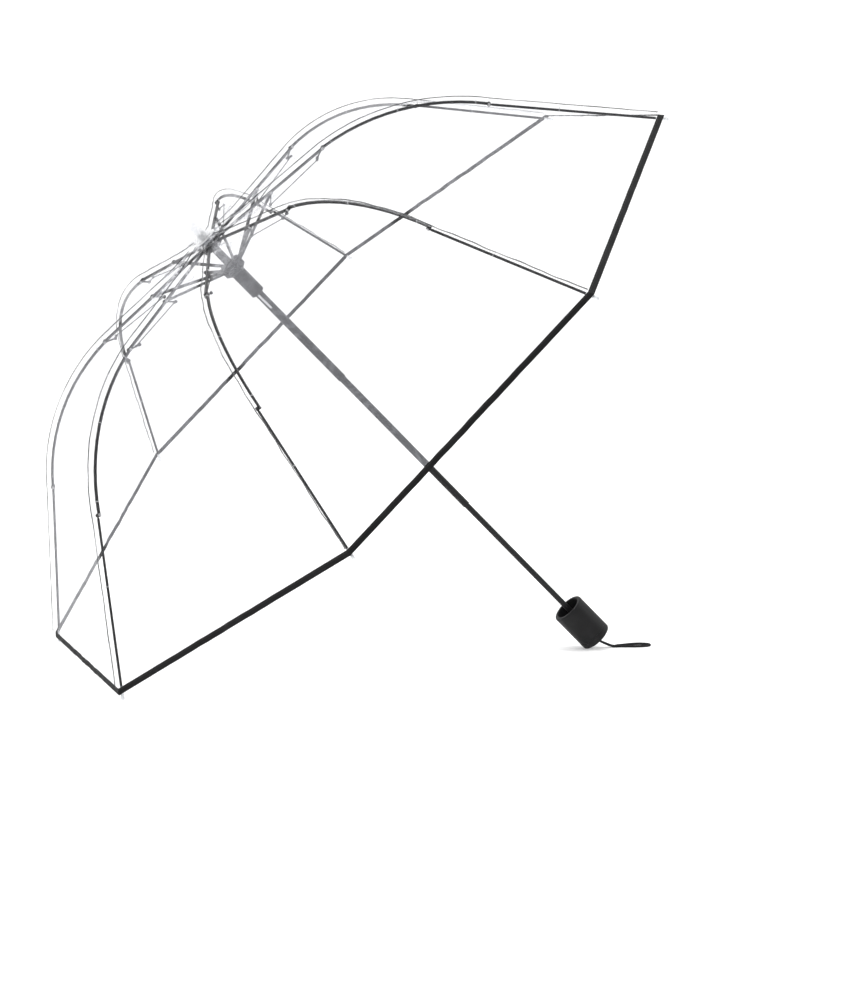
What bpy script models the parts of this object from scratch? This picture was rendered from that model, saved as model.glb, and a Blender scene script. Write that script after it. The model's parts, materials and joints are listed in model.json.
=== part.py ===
"""A clear three-fold umbrella, open, resting on two rib tips and the end of its handle.

The umbrella is modelled upright round its shaft, with the canopy's top at the origin and the handle below.
One empty then tips the whole thing over until the two lowest rib tips and the handle's edge meet the floor.

A point in the plane of a rib is a complex number: its real part is the distance from the shaft's axis, and
its imaginary part is the height. Turning a rib part is then a multiplication by a unit complex number.
Every rib part is drawn open, and its folded place is worked out from the same lengths.
"""

import cmath
import math

import bmesh
import bpy
from mathutils import Matrix, Vector

MM = 0.001

# Ribs: lengths between pivots, and how far each one points below the horizontal when the umbrella is open
RIB_COUNT = 8
TOP_RIB_LENGTH = 162 * MM
MIDDLE_RIB_LENGTH = 194.5 * MM
END_RIB_LENGTH = 199 * MM
TOP_RIB_DROP = math.radians(1.4)
MIDDLE_RIB_DROP = math.radians(27.2)
END_RIB_DROP = math.radians(47.2)
MIDDLE_RIB_BOW = 19.4 * MM
CROWN_PIVOT = complex(10 * MM, -9 * MM)
STRETCHER_PIVOT_ALONG = 84 * MM
RUNNER_PIVOT = complex(11 * MM, -46 * MM)
LINK_ARM = 14 * MM
LINK_ARM_ANGLE = math.radians(225)

# Where the knee and the elbow lie, from the shaft's axis, when the umbrella is folded
FOLDED_KNEE_RADIUS = 19 * MM
FOLDED_ELBOW_RADIUS = 36 * MM
FOLDED_TIP_RADIUS = 24 * MM

# Sections of the rib parts
CHANNEL_WIDTH = 2.4 * MM
CHANNEL_HEIGHT = 3 * MM
CHANNEL_WALL = 0.55 * MM
EYE_RADIUS = 2.3 * MM
EYE_PROUD = 0.05 * MM
WEB_WIDTH = 1.6 * MM
PIN_RADIUS = 0.65 * MM
PIN_CLEARANCE = 0.35 * MM
END_ROD_RADIUS = 1.5 * MM
LINK_RADIUS = 0.6 * MM
LINK_LOOP_RADIUS = 1.6 * MM
SIDE_GAP = 0.6 * MM
TIP_RADIUS = 1.9 * MM
TIP_GRIP = 10 * MM
TIP_NOSE = 6 * MM

# Shaft: three tubes that slide into each other
TOP_TUBE_RADIUS = 5 * MM
TUBE_WALL = 0.45 * MM
TUBE_GAP = 0.3 * MM
TUBE_LENGTH = 240 * MM
TUBE_OVERLAP = 21 * MM
TUBE_ABOVE_CANOPY = 7 * MM

# Crown, runner and catch
CROWN_RADIUS = 13 * MM
CROWN_TOP = -2.5 * MM
CROWN_BOTTOM = -16 * MM
RUNNER_FLANGE_RADIUS = 14 * MM
RUNNER_FLANGE_HEIGHT = 12 * MM
RUNNER_SLEEVE_RADIUS = 8.5 * MM
RUNNER_LENGTH = 50 * MM
WIRE_RADIUS = 0.6 * MM
RUNNER_EYE_HOLE = 1.25 * MM
WIRE_GROOVE = 1 * MM
SLOT_CLEARANCE = 0.5 * MM
FIT = 0.4 * MM
CATCH_LENGTH = 22 * MM
CATCH_WIDTH = 2.4 * MM
CATCH_WALL = 0.6 * MM
CATCH_STAND_OFF = 1.3 * MM
CATCH_TURN = math.radians(-112.5)
KEYWAY_CLEARANCE = 0.5 * MM

# Handle
HANDLE_RADIUS = 20 * MM
HANDLE_LENGTH = 54 * MM
HANDLE_CUP_RADIUS = 15.5 * MM
HANDLE_CUP_DEPTH = 37 * MM
RUNNER_ABOVE_CUP_FLOOR = 9 * MM
HANDLE_EDGE = 2 * MM
SOCKET_RADIUS = 12 * MM
END_CAP_THICKNESS = 3 * MM
TUBE_ABOVE_CAP = 11 * MM
STRAP_HOLE_RADIUS = 4.2 * MM
STRAP_RADIUS = 1.5 * MM
STRAP_HALF_SPREAD = 1.9 * MM
STRAP_STRAIGHT = 7 * MM

# Canopy
CANOPY_THICKNESS = 0.2 * MM
CANOPY_LIFT = 4 * MM
CANOPY_TOP = -1.2 * MM
HEM_WIDTH = 7.5 * MM
HEM_THICKNESS = 1 * MM
WASHER_RADIUS = 15 * MM
WASHER_THICKNESS = 1 * MM
FERRULE_RADIUS = 9 * MM
FERRULE_LENGTH = 24 * MM

# What follows from the dimensions above
KNEE = CROWN_PIVOT + cmath.rect(TOP_RIB_LENGTH, -TOP_RIB_DROP)
ELBOW = KNEE + cmath.rect(MIDDLE_RIB_LENGTH, -MIDDLE_RIB_DROP)
TIP = ELBOW + cmath.rect(END_RIB_LENGTH, -END_RIB_DROP)
STRETCHER_PIVOT = CROWN_PIVOT + cmath.rect(STRETCHER_PIVOT_ALONG, -TOP_RIB_DROP)
STRETCHER_LENGTH = abs(STRETCHER_PIVOT - RUNNER_PIVOT)
STRETCHER_RISE = cmath.phase(STRETCHER_PIVOT - RUNNER_PIVOT)
LAYER = CHANNEL_WIDTH + SIDE_GAP
RUNNER_TOP = RUNNER_PIVOT.imag + RUNNER_FLANGE_HEIGHT / 2
RUNNER_BOTTOM = RUNNER_TOP - RUNNER_LENGTH
MIDDLE_TUBE_RADIUS = TOP_TUBE_RADIUS - TUBE_WALL - TUBE_GAP
LOWER_TUBE_RADIUS = MIDDLE_TUBE_RADIUS - TUBE_WALL - TUBE_GAP


def folded_angles():
    """The directions of the four rib parts when folded, and how far down the runner slides."""
    top = -math.acos((FOLDED_KNEE_RADIUS - CROWN_PIVOT.real) / TOP_RIB_LENGTH)
    knee = CROWN_PIVOT + cmath.rect(TOP_RIB_LENGTH, top)
    middle = math.acos((FOLDED_ELBOW_RADIUS - knee.real) / MIDDLE_RIB_LENGTH)
    end = -math.acos((FOLDED_TIP_RADIUS - FOLDED_ELBOW_RADIUS) / END_RIB_LENGTH)
    pivot = CROWN_PIVOT + cmath.rect(STRETCHER_PIVOT_ALONG, top)
    stretcher = math.acos((pivot.real - RUNNER_PIVOT.real) / STRETCHER_LENGTH)
    travel = RUNNER_PIVOT.imag - (pivot.imag - STRETCHER_LENGTH * math.sin(stretcher))
    return top, middle, end, stretcher, travel


def fold_turns():
    """How far each hinge turns from open to folded, and the link's shift along the top rib."""
    top, middle, end, stretcher, travel = folded_angles()
    top_turn = top + TOP_RIB_DROP
    middle_turn = middle + MIDDLE_RIB_DROP - top_turn
    end_turn = end + END_RIB_DROP - (middle + MIDDLE_RIB_DROP)
    stretcher_turn = stretcher - STRETCHER_RISE
    arm = cmath.rect(LINK_ARM, LINK_ARM_ANGLE)
    shift = arm * (cmath.exp(1j * (stretcher_turn - top_turn)) - 1)
    horn = shift / (cmath.exp(1j * middle_turn) - 1)
    return {
        "travel": travel,
        "top": top_turn,
        "middle": middle_turn,
        "end": end_turn,
        "stretcher": stretcher_turn,
        "link_arm": STRETCHER_PIVOT + arm,
        "link_shift": shift,
        "horn": KNEE + horn,
    }


FOLD = fold_turns()
LINK_START = FOLD["link_arm"]
LINK_END = FOLD["horn"]
FOLDED_HANDLE_TOP = RUNNER_BOTTOM - FOLD["travel"] + HANDLE_CUP_DEPTH - RUNNER_ABOVE_CUP_FLOOR
TUBE_SLIDE = TUBE_LENGTH - TUBE_OVERLAP
HANDLE_TOP = FOLDED_HANDLE_TOP - 2 * TUBE_SLIDE
HANDLE_BOTTOM = HANDLE_TOP - HANDLE_LENGTH
TOP_TUBE_TOP = TUBE_ABOVE_CANOPY
TOP_TUBE_BOTTOM = TOP_TUBE_TOP - TUBE_LENGTH
MIDDLE_TUBE_TOP = TOP_TUBE_BOTTOM + TUBE_OVERLAP
MIDDLE_TUBE_BOTTOM = MIDDLE_TUBE_TOP - TUBE_LENGTH
LOWER_TUBE_TOP = MIDDLE_TUBE_BOTTOM + TUBE_OVERLAP
SOCKET_BOTTOM = HANDLE_BOTTOM + END_CAP_THICKNESS
LOWER_TUBE_BOTTOM = SOCKET_BOTTOM + TUBE_ABOVE_CAP

# The strap's loop on the floor: (forward from the handle's end, sideways), chosen by hand
STRAP_LOOP = [
    (22, 2.2), (30, 3.4), (38, 5.4), (47, 7.6), (56, 8.6), (64, 7.2), (69.5, 3.0),
    (70, -2.4), (65.5, -6.8), (58, -8.6), (49, -8.0), (40, -6.0), (31, -3.8), (22, -2.2),
]


# ---- Materials

def material(name, colour, roughness, metallic=0.0, alpha=1.0, transmission=0.0):
    """A Principled material."""
    made = bpy.data.materials.new(name)
    made.use_nodes = True
    shader = made.node_tree.nodes["Principled BSDF"]
    shader.inputs["Base Color"].default_value = (*colour, 1)
    shader.inputs["Roughness"].default_value = roughness
    shader.inputs["Metallic"].default_value = metallic
    shader.inputs["Alpha"].default_value = alpha
    shader.inputs["Transmission Weight"].default_value = transmission
    made.diffuse_color = (*colour, alpha)
    return made


def make_materials():
    return {
        "clear": material("clear_sheet", (0.94, 0.95, 0.97), 0.06, alpha=0.3, transmission=0.9),
        "clear_plastic": material("clear_plastic", (0.9, 0.91, 0.93), 0.15, alpha=0.6, transmission=0.7),
        "black_steel": material("black_steel", (0.02, 0.02, 0.022), 0.35, metallic=0.6),
        "steel": material("bright_steel", (0.6, 0.6, 0.62), 0.25, metallic=1.0),
        "black_plastic": material("black_plastic", (0.015, 0.015, 0.016), 0.45),
        "rubber": material("grip_rubber", (0.02, 0.02, 0.02), 0.7),
        "tape": material("binding_tape", (0.012, 0.012, 0.013), 0.8),
        "cord": material("strap_cord", (0.02, 0.02, 0.02), 0.85),
    }


# ---- Mesh helpers

def mesh_from(name, points, faces):
    """A mesh whose faces all point outwards."""
    mesh = bpy.data.meshes.new(name)
    mesh.from_pydata([tuple(point) for point in points], [], faces)
    shape = bmesh.new()
    shape.from_mesh(mesh)
    bmesh.ops.remove_doubles(shape, verts=shape.verts, dist=1e-7)
    bmesh.ops.recalc_face_normals(shape, faces=shape.faces)
    shape.to_mesh(mesh)
    shape.free()
    return mesh


def turned(name, profile, steps=32, axis="Z"):
    """A closed profile of (radius, height) points, turned once. An edge on the axis makes no face."""
    shape = bmesh.new()
    ring = [shape.verts.new((radius, 0, height)) for radius, height in profile]
    off_axis = [i for i in range(len(ring)) if profile[i - 1][0] + profile[i][0] > 1e-9]
    edges = [shape.edges.new((ring[i - 1], ring[i])) for i in off_axis]
    around = {"axis": (0, 0, 1), "cent": (0, 0, 0), "angle": 2 * math.pi}
    bmesh.ops.spin(shape, geom=ring + edges, steps=steps, use_merge=True, **around)
    bmesh.ops.remove_doubles(shape, verts=shape.verts, dist=1e-7)
    bmesh.ops.recalc_face_normals(shape, faces=shape.faces)
    if axis == "X":
        shape.transform(Matrix.Rotation(math.radians(90), 4, "Y"))
    elif axis == "Y":
        shape.transform(Matrix.Rotation(math.radians(-90), 4, "X"))
    mesh = bpy.data.meshes.new(name)
    shape.to_mesh(mesh)
    shape.free()
    return mesh


def block(name, low, high):
    """A box between two corners."""
    shape = bmesh.new()
    bmesh.ops.create_cube(shape, size=1)
    low, high = Vector(low), Vector(high)
    shape.transform(Matrix.Translation((low + high) / 2) @ Matrix.Diagonal((*(high - low), 1)))
    mesh = bpy.data.meshes.new(name)
    shape.to_mesh(mesh)
    shape.free()
    return mesh


def swept(name, section, path):
    """A section of (across, up) points carried along a path of points in the x-z plane, with flat ends."""
    points, faces = [], []
    for i, here in enumerate(path):
        before, after = path[max(i - 1, 0)], path[min(i + 1, len(path) - 1)]
        along = (after - before) / abs(after - before)
        up = 1j * along
        if 0 < i < len(path) - 1:
            up /= abs(math.cos(cmath.phase((after - here) / (here - before)) / 2))
        for across, height in section:
            spot = here + up * height
            points.append((spot.real, across, spot.imag))
    count = len(section)
    for i in range(len(path) - 1):
        for j in range(count):
            k = (j + 1) % count
            faces.append((i * count + j, i * count + k, (i + 1) * count + k, (i + 1) * count + j))
    faces.append(tuple(range(count))[::-1])
    faces.append(tuple((len(path) - 1) * count + j for j in range(count)))
    return mesh_from(name, points, faces)


def channel_section():
    """A U-shaped section, open below, as rib channels are rolled."""
    side, top, inner = CHANNEL_WIDTH / 2, CHANNEL_HEIGHT / 2, CHANNEL_WIDTH / 2 - CHANNEL_WALL
    roof = top - CHANNEL_WALL
    half = [(side, top), (side, -top), (inner, -top), (inner, roof)]
    return half + [(-across, up) for across, up in reversed(half)]


def web_section():
    """The flat section of a short arm between two pivots."""
    side = WEB_WIDTH / 2
    return [(-side, -side), (side, -side), (side, side), (-side, side)]


def moved(mesh, x=0.0, y=0.0, z=0.0):
    mesh.transform(Matrix.Translation((x, y, z)))
    return mesh


def disc(name, centre, radius, low, high, steps=16):
    """A disc across the rib plane, between two distances from it."""
    mesh = turned(name, [(0, low), (radius, low), (radius, high), (0, high)], steps, "Y")
    return moved(mesh, centre.real, 0, centre.imag)


def eye(name, centre, hole=PIN_RADIUS + PIN_CLEARANCE):
    """A flat ring for a pivot, as wide as the channel."""
    side = CHANNEL_WIDTH / 2 + EYE_PROUD
    mesh = turned(name, [(hole, -side), (EYE_RADIUS, -side), (EYE_RADIUS, side), (hole, side)], 16, "Y")
    return moved(mesh, centre.real, 0, centre.imag)


def combined(base, others, operation):
    """The base mesh with the others joined to it or cut from it, by exact Booleans."""
    holder = bpy.data.objects.new("holder", base)
    bpy.context.scene.collection.objects.link(holder)
    helpers = []
    for mesh in others:
        helper = bpy.data.objects.new("helper", mesh)
        bpy.context.scene.collection.objects.link(helper)
        step = holder.modifiers.new("boolean", "BOOLEAN")
        step.operation = operation
        step.object = helper
        step.solver = "EXACT"
        helpers.append(helper)
    bpy.context.view_layer.update()
    result = bpy.data.meshes.new_from_object(holder.evaluated_get(bpy.context.evaluated_depsgraph_get()))
    result.name = base.name
    for helper in [holder, *helpers]:
        bpy.data.objects.remove(helper)
    return result


def joined(base, others):
    return combined(base, others, "UNION")


def cut(base, others):
    return combined(base, others, "DIFFERENCE")


def place(name, mesh, finish, parent, spot=(0, 0, 0), smooth=30):
    """One named object, shaded smooth where its faces meet at a small angle."""
    mesh.name = name
    mesh.materials.clear()
    mesh.materials.append(finish)
    mesh.shade_smooth()
    mesh.set_sharp_from_angle(angle=math.radians(smooth))
    made = bpy.data.objects.new(name, mesh)
    bpy.context.scene.collection.objects.link(made)
    made.parent = parent
    made.location = spot
    return made


def empty(name, parent=None, turn=0.0):
    made = bpy.data.objects.new(name, None)
    bpy.context.scene.collection.objects.link(made)
    made.parent = parent
    made.rotation_euler = (0, 0, turn)
    return made


# ---- Rib parts, each drawn open with its own pivot at the origin

def arc_path(start, end, bow, steps):
    """Points on the arc from start to end that rises by bow above its chord."""
    chord = end - start
    half = abs(chord) / 2
    radius = (half**2 + bow**2) / (2 * bow)
    centre = (start + end) / 2 - 1j * chord / abs(chord) * (radius - bow)
    first = cmath.phase(start - centre)
    sweep = -2 * math.asin(half / radius)
    return [centre + cmath.rect(radius, first + sweep * i / steps) for i in range(steps + 1)]


def top_rib_mesh():
    along = cmath.rect(1, -TOP_RIB_DROP)
    start = PIN_RADIUS + PIN_CLEARANCE + CHANNEL_WALL
    bar = swept("top_rib", channel_section(), [along * start, along * (TOP_RIB_LENGTH - start)])
    return joined(bar, [eye("inner_eye", 0j), eye("outer_eye", along * TOP_RIB_LENGTH)])


def stretcher_mesh():
    along = cmath.rect(1, STRETCHER_RISE)
    start = RUNNER_EYE_HOLE + CHANNEL_WALL / 2
    end = STRETCHER_PIVOT - RUNNER_PIVOT
    lug = LINK_START - RUNNER_PIVOT
    side = CHANNEL_WIDTH / 2 + EYE_PROUD
    bar = swept("stretcher", channel_section(), [along * start, end])
    web = web_section()
    return joined(
        bar,
        [
            eye("inner_eye", 0j, RUNNER_EYE_HOLE),
            disc("outer_end", end, EYE_RADIUS, -side, side),
            swept("lug", web, [end, lug]),
            disc("lug_end", lug, EYE_RADIUS * 0.8, -side, side),
        ],
    )


def middle_rib_mesh():
    side = CHANNEL_WIDTH / 2 + EYE_PROUD
    elbow, horn = ELBOW - KNEE, LINK_END - KNEE
    web = web_section()
    bar = swept("middle_rib", channel_section(), arc_path(0j, elbow, MIDDLE_RIB_BOW, 12))
    pin_end = -LAYER - CHANNEL_WIDTH / 2
    return joined(
        bar,
        [
            disc("knee_end", 0j, EYE_RADIUS, -side, side),
            disc("elbow_end", elbow, EYE_RADIUS, -side, side),
            swept("horn", web, [0j, horn]),
            disc("horn_end", horn, EYE_RADIUS * 0.8, -side, side),
            disc("knee_pin", 0j, PIN_RADIUS, pin_end, 0, 12),
            disc("elbow_pin", elbow, PIN_RADIUS, pin_end, 0, 12),
            disc("horn_pin", horn, PIN_RADIUS, pin_end - LAYER, 0, 12),
        ],
    )


def end_rib_mesh():
    along = cmath.rect(1, -END_RIB_DROP)
    start = PIN_RADIUS + PIN_CLEARANCE + CHANNEL_WALL
    profile = [(0, start), (END_ROD_RADIUS, start), (END_ROD_RADIUS, END_RIB_LENGTH), (0, END_RIB_LENGTH)]
    rod = turned("end_rib", profile, 10, "X")
    grip, nose = END_RIB_LENGTH - TIP_GRIP, END_RIB_LENGTH + TIP_NOSE
    profile = [(0, grip), (TIP_RADIUS * 0.85, grip), (TIP_RADIUS, grip + 2 * MM), (TIP_RADIUS, nose - TIP_RADIUS)]
    for i in range(1, 5):
        turn = i / 4 * math.pi / 2
        profile.append((TIP_RADIUS * math.cos(turn), nose - TIP_RADIUS + TIP_RADIUS * math.sin(turn)))
    tip = turned("tip", profile, 12, "X")
    shape = joined(rod, [tip])
    shape.transform(Matrix.Rotation(END_RIB_DROP, 4, "Y"))
    return joined(shape, [eye("inner_eye", 0j)])


def link_mesh():
    reach = LINK_END - LINK_START
    along = reach / abs(reach)
    profile = [(0, 0), (LINK_RADIUS, 0), (LINK_RADIUS, abs(reach)), (0, abs(reach))]
    rod = turned("control_link", profile, 8, "X")
    rod.transform(Matrix.Rotation(-cmath.phase(along), 4, "Y"))
    side, radius = LINK_RADIUS + EYE_PROUD, LINK_LOOP_RADIUS
    loops = [disc("near_loop", 0j, radius, -side, side), disc("far_loop", reach, radius, -side, side)]
    return joined(rod, loops)


def make_ribs(upright, finishes):
    """Eight ribs of five parts each. The copies share their meshes."""
    meshes = {
        "top_rib": (top_rib_mesh(), CROWN_PIVOT, 0),
        "stretcher": (stretcher_mesh(), RUNNER_PIVOT, -LAYER),
        "middle_rib": (middle_rib_mesh(), KNEE, LAYER),
        "end_rib": (end_rib_mesh(), ELBOW, 0),
        "control_link": (link_mesh(), LINK_START, -2 * LAYER + LINK_RADIUS),
    }
    for number in range(RIB_COUNT):
        turn = -2 * math.pi * (number + 0.5) / RIB_COUNT
        plane = empty(f"rib_plane_{number + 1}", upright, turn)
        for kind, (mesh, pivot, side) in meshes.items():
            finish = finishes["black_steel"]
            made = place(f"{kind}_{number + 1}", mesh, finish, plane, (pivot.real, side, pivot.imag))
            mesh.name = kind
            made.name = f"{kind}_{number + 1}"


# ---- Crown, runner, shaft

def notched(name, profile, pivot, side, slot_from, slot_to):
    """A turned ring with a slot for each rib and a groove for the wire that they hang on."""
    half, slot_radius = CHANNEL_WIDTH / 2 + SLOT_CLEARANCE, pivot.real - EYE_RADIUS - FIT
    inner, outer = math.hypot(pivot.real, side) - WIRE_GROOVE, RUNNER_FLANGE_RADIUS * 1.5
    cutters = []
    for number in range(RIB_COUNT):
        slot = block("slot", (slot_radius, side - half, slot_from), (outer, side + half, slot_to))
        slot.transform(Matrix.Rotation(-2 * math.pi * (number + 0.5) / RIB_COUNT, 4, "Z"))
        cutters.append(slot)
    low, high = pivot.imag - WIRE_GROOVE, pivot.imag + WIRE_GROOVE
    cutters.append(turned("groove", [(inner, low), (outer, low), (outer, high), (inner, high)], 48))
    return cut(turned(name, profile, 48), cutters)


def wire_ring(name, pivot, side):
    """The wire that threads the inner eyes of the rib parts."""
    profile, middle = [], math.hypot(pivot.real, side)
    for i in range(8):
        turn = 2 * math.pi * i / 8
        profile.append((middle + WIRE_RADIUS * math.cos(turn), pivot.imag + WIRE_RADIUS * math.sin(turn)))
    return turned(name, profile, 48)


def make_crown(upright, finishes):
    bore = TOP_TUBE_RADIUS + TUBE_GAP
    profile = [
        (bore, CROWN_BOTTOM), (CROWN_RADIUS - 1 * MM, CROWN_BOTTOM), (CROWN_RADIUS, CROWN_BOTTOM + 1 * MM),
        (CROWN_RADIUS, CROWN_TOP - 1.5 * MM), (CROWN_RADIUS - 1.5 * MM, CROWN_TOP), (bore, CROWN_TOP),
    ]
    slot_to = CROWN_PIVOT.imag + EYE_RADIUS + 1 * MM
    mesh = notched("crown", profile, CROWN_PIVOT, 0, CROWN_BOTTOM - 1 * MM, slot_to)
    place("crown", mesh, finishes["black_plastic"], upright)
    place("crown_wire", wire_ring("crown_wire", CROWN_PIVOT, 0), finishes["steel"], upright)


def make_runner(upright, finishes):
    bore, sleeve, flange = TOP_TUBE_RADIUS + FIT, RUNNER_SLEEVE_RADIUS, RUNNER_FLANGE_RADIUS
    flange_bottom = RUNNER_TOP - RUNNER_FLANGE_HEIGHT
    profile = [
        (bore, RUNNER_BOTTOM), (sleeve - 1 * MM, RUNNER_BOTTOM), (sleeve, RUNNER_BOTTOM + 1 * MM),
        (sleeve, flange_bottom - 4 * MM), (flange, flange_bottom), (flange, RUNNER_TOP - 1 * MM),
        (flange - 1 * MM, RUNNER_TOP), (bore, RUNNER_TOP),
    ]
    slot_from = RUNNER_PIVOT.imag - EYE_RADIUS - 1 * MM
    mesh = notched("runner", profile, RUNNER_PIVOT, -LAYER, slot_from, RUNNER_TOP + 1 * MM)
    half, depth = CATCH_WIDTH / 2 + KEYWAY_CLEARANCE, catch_reach() + KEYWAY_CLEARANCE
    keyway = block("keyway", (0, -half, RUNNER_BOTTOM - 1 * MM), (depth, half, RUNNER_TOP + 1 * MM))
    keyway.transform(Matrix.Rotation(CATCH_TURN, 4, "Z"))
    origin = RUNNER_PIVOT.imag
    mesh = moved(cut(mesh, [keyway]), z=-origin)
    made = place("runner", mesh, finishes["black_plastic"], upright, (0, 0, origin))
    wire = moved(wire_ring("runner_wire", RUNNER_PIVOT, LAYER), z=-origin)
    place("runner_wire", wire, finishes["steel"], made)


def catch_reach():
    """How far the catch's free end stands from the shaft's axis."""
    return TOP_TUBE_RADIUS + FIT / 2 + CATCH_WALL + CATCH_STAND_OFF


def make_catch(upright, finishes):
    """A leaf spring on the top tube. Its free end stands out under the runner, and a thumb presses it in."""
    top = RUNNER_BOTTOM - FIT
    foot = top - CATCH_LENGTH
    near = TOP_TUBE_RADIUS + FIT / 2
    half = CATCH_WIDTH / 2
    outline = [
        (near, foot), (near + CATCH_WALL, foot), (near + CATCH_WALL, foot + 3 * MM),
        (catch_reach(), top), (catch_reach() - CATCH_WALL, top), (near, foot + 3 * MM + CATCH_WALL),
    ]
    points = [(radius, y, height - foot) for y in (-half, half) for radius, height in outline]
    count = len(outline)
    faces = [tuple(range(count)), tuple(range(count, 2 * count))[::-1]]
    faces += [(i, (i + 1) % count, (i + 1) % count + count, i + count) for i in range(count)]
    plane = empty("catch_plane", upright, CATCH_TURN)
    place("runner_catch", mesh_from("runner_catch", points, faces), finishes["steel"], plane, (0, 0, foot))


def tube(name, radius, low, high, steps=24):
    inner = radius - TUBE_WALL
    return turned(name, [(inner, low), (radius, low), (radius, high), (inner, high)], steps)


def make_shaft(upright, finishes):
    steel = finishes["black_steel"]
    place("top_tube", tube("top_tube", TOP_TUBE_RADIUS, TOP_TUBE_BOTTOM, TOP_TUBE_TOP), steel, upright)
    length = MIDDLE_TUBE_TOP - MIDDLE_TUBE_BOTTOM
    mesh = tube("middle_tube", MIDDLE_TUBE_RADIUS, -length, 0)
    middle = place("middle_tube", mesh, steel, upright, (0, 0, MIDDLE_TUBE_TOP))
    length = LOWER_TUBE_TOP - LOWER_TUBE_BOTTOM
    spot = (0, 0, LOWER_TUBE_TOP - MIDDLE_TUBE_TOP)
    return place("lower_tube", tube("lower_tube", LOWER_TUBE_RADIUS, -length, 0), steel, middle, spot)


# ---- Handle and strap

def make_handle(upright, finishes):
    edge, floor = HANDLE_EDGE, HANDLE_TOP - HANDLE_CUP_DEPTH
    inside = SOCKET_RADIUS + FIT
    outer = [(HANDLE_RADIUS - edge + edge * math.sin(t), HANDLE_BOTTOM + edge - edge * math.cos(t))
             for t in (0, math.pi / 6, math.pi / 3, math.pi / 2)]
    rim = [(HANDLE_RADIUS - edge + edge * math.cos(t), HANDLE_TOP - edge + edge * math.sin(t))
           for t in (0, math.pi / 6, math.pi / 3, math.pi / 2)]
    step = inside + 2 * MM
    profile = [
        (step, HANDLE_BOTTOM), *outer, *rim, (HANDLE_CUP_RADIUS, HANDLE_TOP), (HANDLE_CUP_RADIUS, floor),
        (inside, floor), (inside, SOCKET_BOTTOM), (step, SOCKET_BOTTOM),
    ]
    place("handle_grip", turned("handle_grip", profile, 48), finishes["rubber"], upright)
    bore = LOWER_TUBE_RADIUS + TUBE_GAP
    top, low = floor, SOCKET_BOTTOM + FIT
    ledge = LOWER_TUBE_BOTTOM - FIT
    profile = [
        (STRAP_HOLE_RADIUS + 1 * MM, low), (SOCKET_RADIUS, low), (SOCKET_RADIUS, top - 1 * MM),
        (SOCKET_RADIUS - 1 * MM, top), (bore, top), (bore, ledge), (bore - 1.5 * MM, ledge),
        (bore - 1.5 * MM, ledge - 1.5 * MM), (STRAP_HOLE_RADIUS + 1 * MM, ledge - 1.5 * MM),
    ]
    place("handle_socket", turned("handle_socket", profile, 32), finishes["black_plastic"], upright)
    radius = step - FIT
    profile = [
        (STRAP_HOLE_RADIUS, HANDLE_BOTTOM), (radius, HANDLE_BOTTOM),
        (radius, SOCKET_BOTTOM), (STRAP_HOLE_RADIUS, SOCKET_BOTTOM),
    ]
    place("handle_end_cap", turned("handle_end_cap", profile, 32), finishes["black_plastic"], upright)
    knot_bottom, knot_radius = SOCKET_BOTTOM + 1.5 * MM, STRAP_HOLE_RADIUS + 0.5 * MM
    knot = [(0, knot_bottom), (knot_radius * 0.8, knot_bottom), (knot_radius, knot_bottom + 1.5 * MM)]
    knot += [(knot_radius * 0.8, knot_bottom + 4 * MM), (0, knot_bottom + 4.6 * MM)]
    place("strap_knot", turned("strap_knot", knot, 16), finishes["cord"], upright)
    return knot_bottom


def smooth_route(points, gap):
    """A Catmull-Rom curve through the route's points, with a point about every gap."""
    route = [Vector(point) for point in points]
    ends = [2 * route[0] - route[1], *route, 2 * route[-1] - route[-2]]
    curve = [route[0]]
    for i in range(len(route) - 1):
        a, b, c, d = ends[i : i + 4]
        steps = max(1, round((c - b).length / gap))
        for k in range(1, steps + 1):
            t = k / steps
            curve.append(
                0.5 * (2 * b + (c - a) * t + (2 * a - 5 * b + 4 * c - d) * t**2 + (3 * b - a - 3 * c + d) * t**3)
            )
    return curve


def strap_route(upright, knot_bottom):
    """The strap leaves the handle's end side by side, bends down to the floor and lies there in a loop."""
    turn = upright.matrix_world
    heights = (knot_bottom - FIT, HANDLE_BOTTOM, HANDLE_BOTTOM - STRAP_STRAIGHT)
    route = [turn @ Vector((0, STRAP_HALF_SPREAD, height)) for height in heights]
    exit_point = turn @ Vector((0, 0, HANDLE_BOTTOM))
    loop = [Vector((exit_point.x + x * MM, exit_point.y + y * MM, STRAP_RADIUS)) for x, y in STRAP_LOOP]
    back = [Vector((point.x, -point.y, point.z)) for point in reversed(route)]
    return route + loop + back


def make_strap(upright, finishes, knot_bottom):
    curve = bpy.data.curves.new("wrist_strap", "CURVE")
    curve.dimensions = "3D"
    curve.bevel_depth = STRAP_RADIUS
    curve.bevel_resolution = 2
    curve.use_fill_caps = True
    spline = curve.splines.new("POLY")
    route = smooth_route(strap_route(upright, knot_bottom), 5 * MM)
    spline.points.add(len(route) - 1)
    for point, spot in zip(spline.points, route):
        point.co = (*spot, 1)
    curve.materials.append(finishes["cord"])
    made = bpy.data.objects.new("wrist_strap", curve)
    bpy.context.scene.collection.objects.link(made)
    return made


# ---- Canopy

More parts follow.
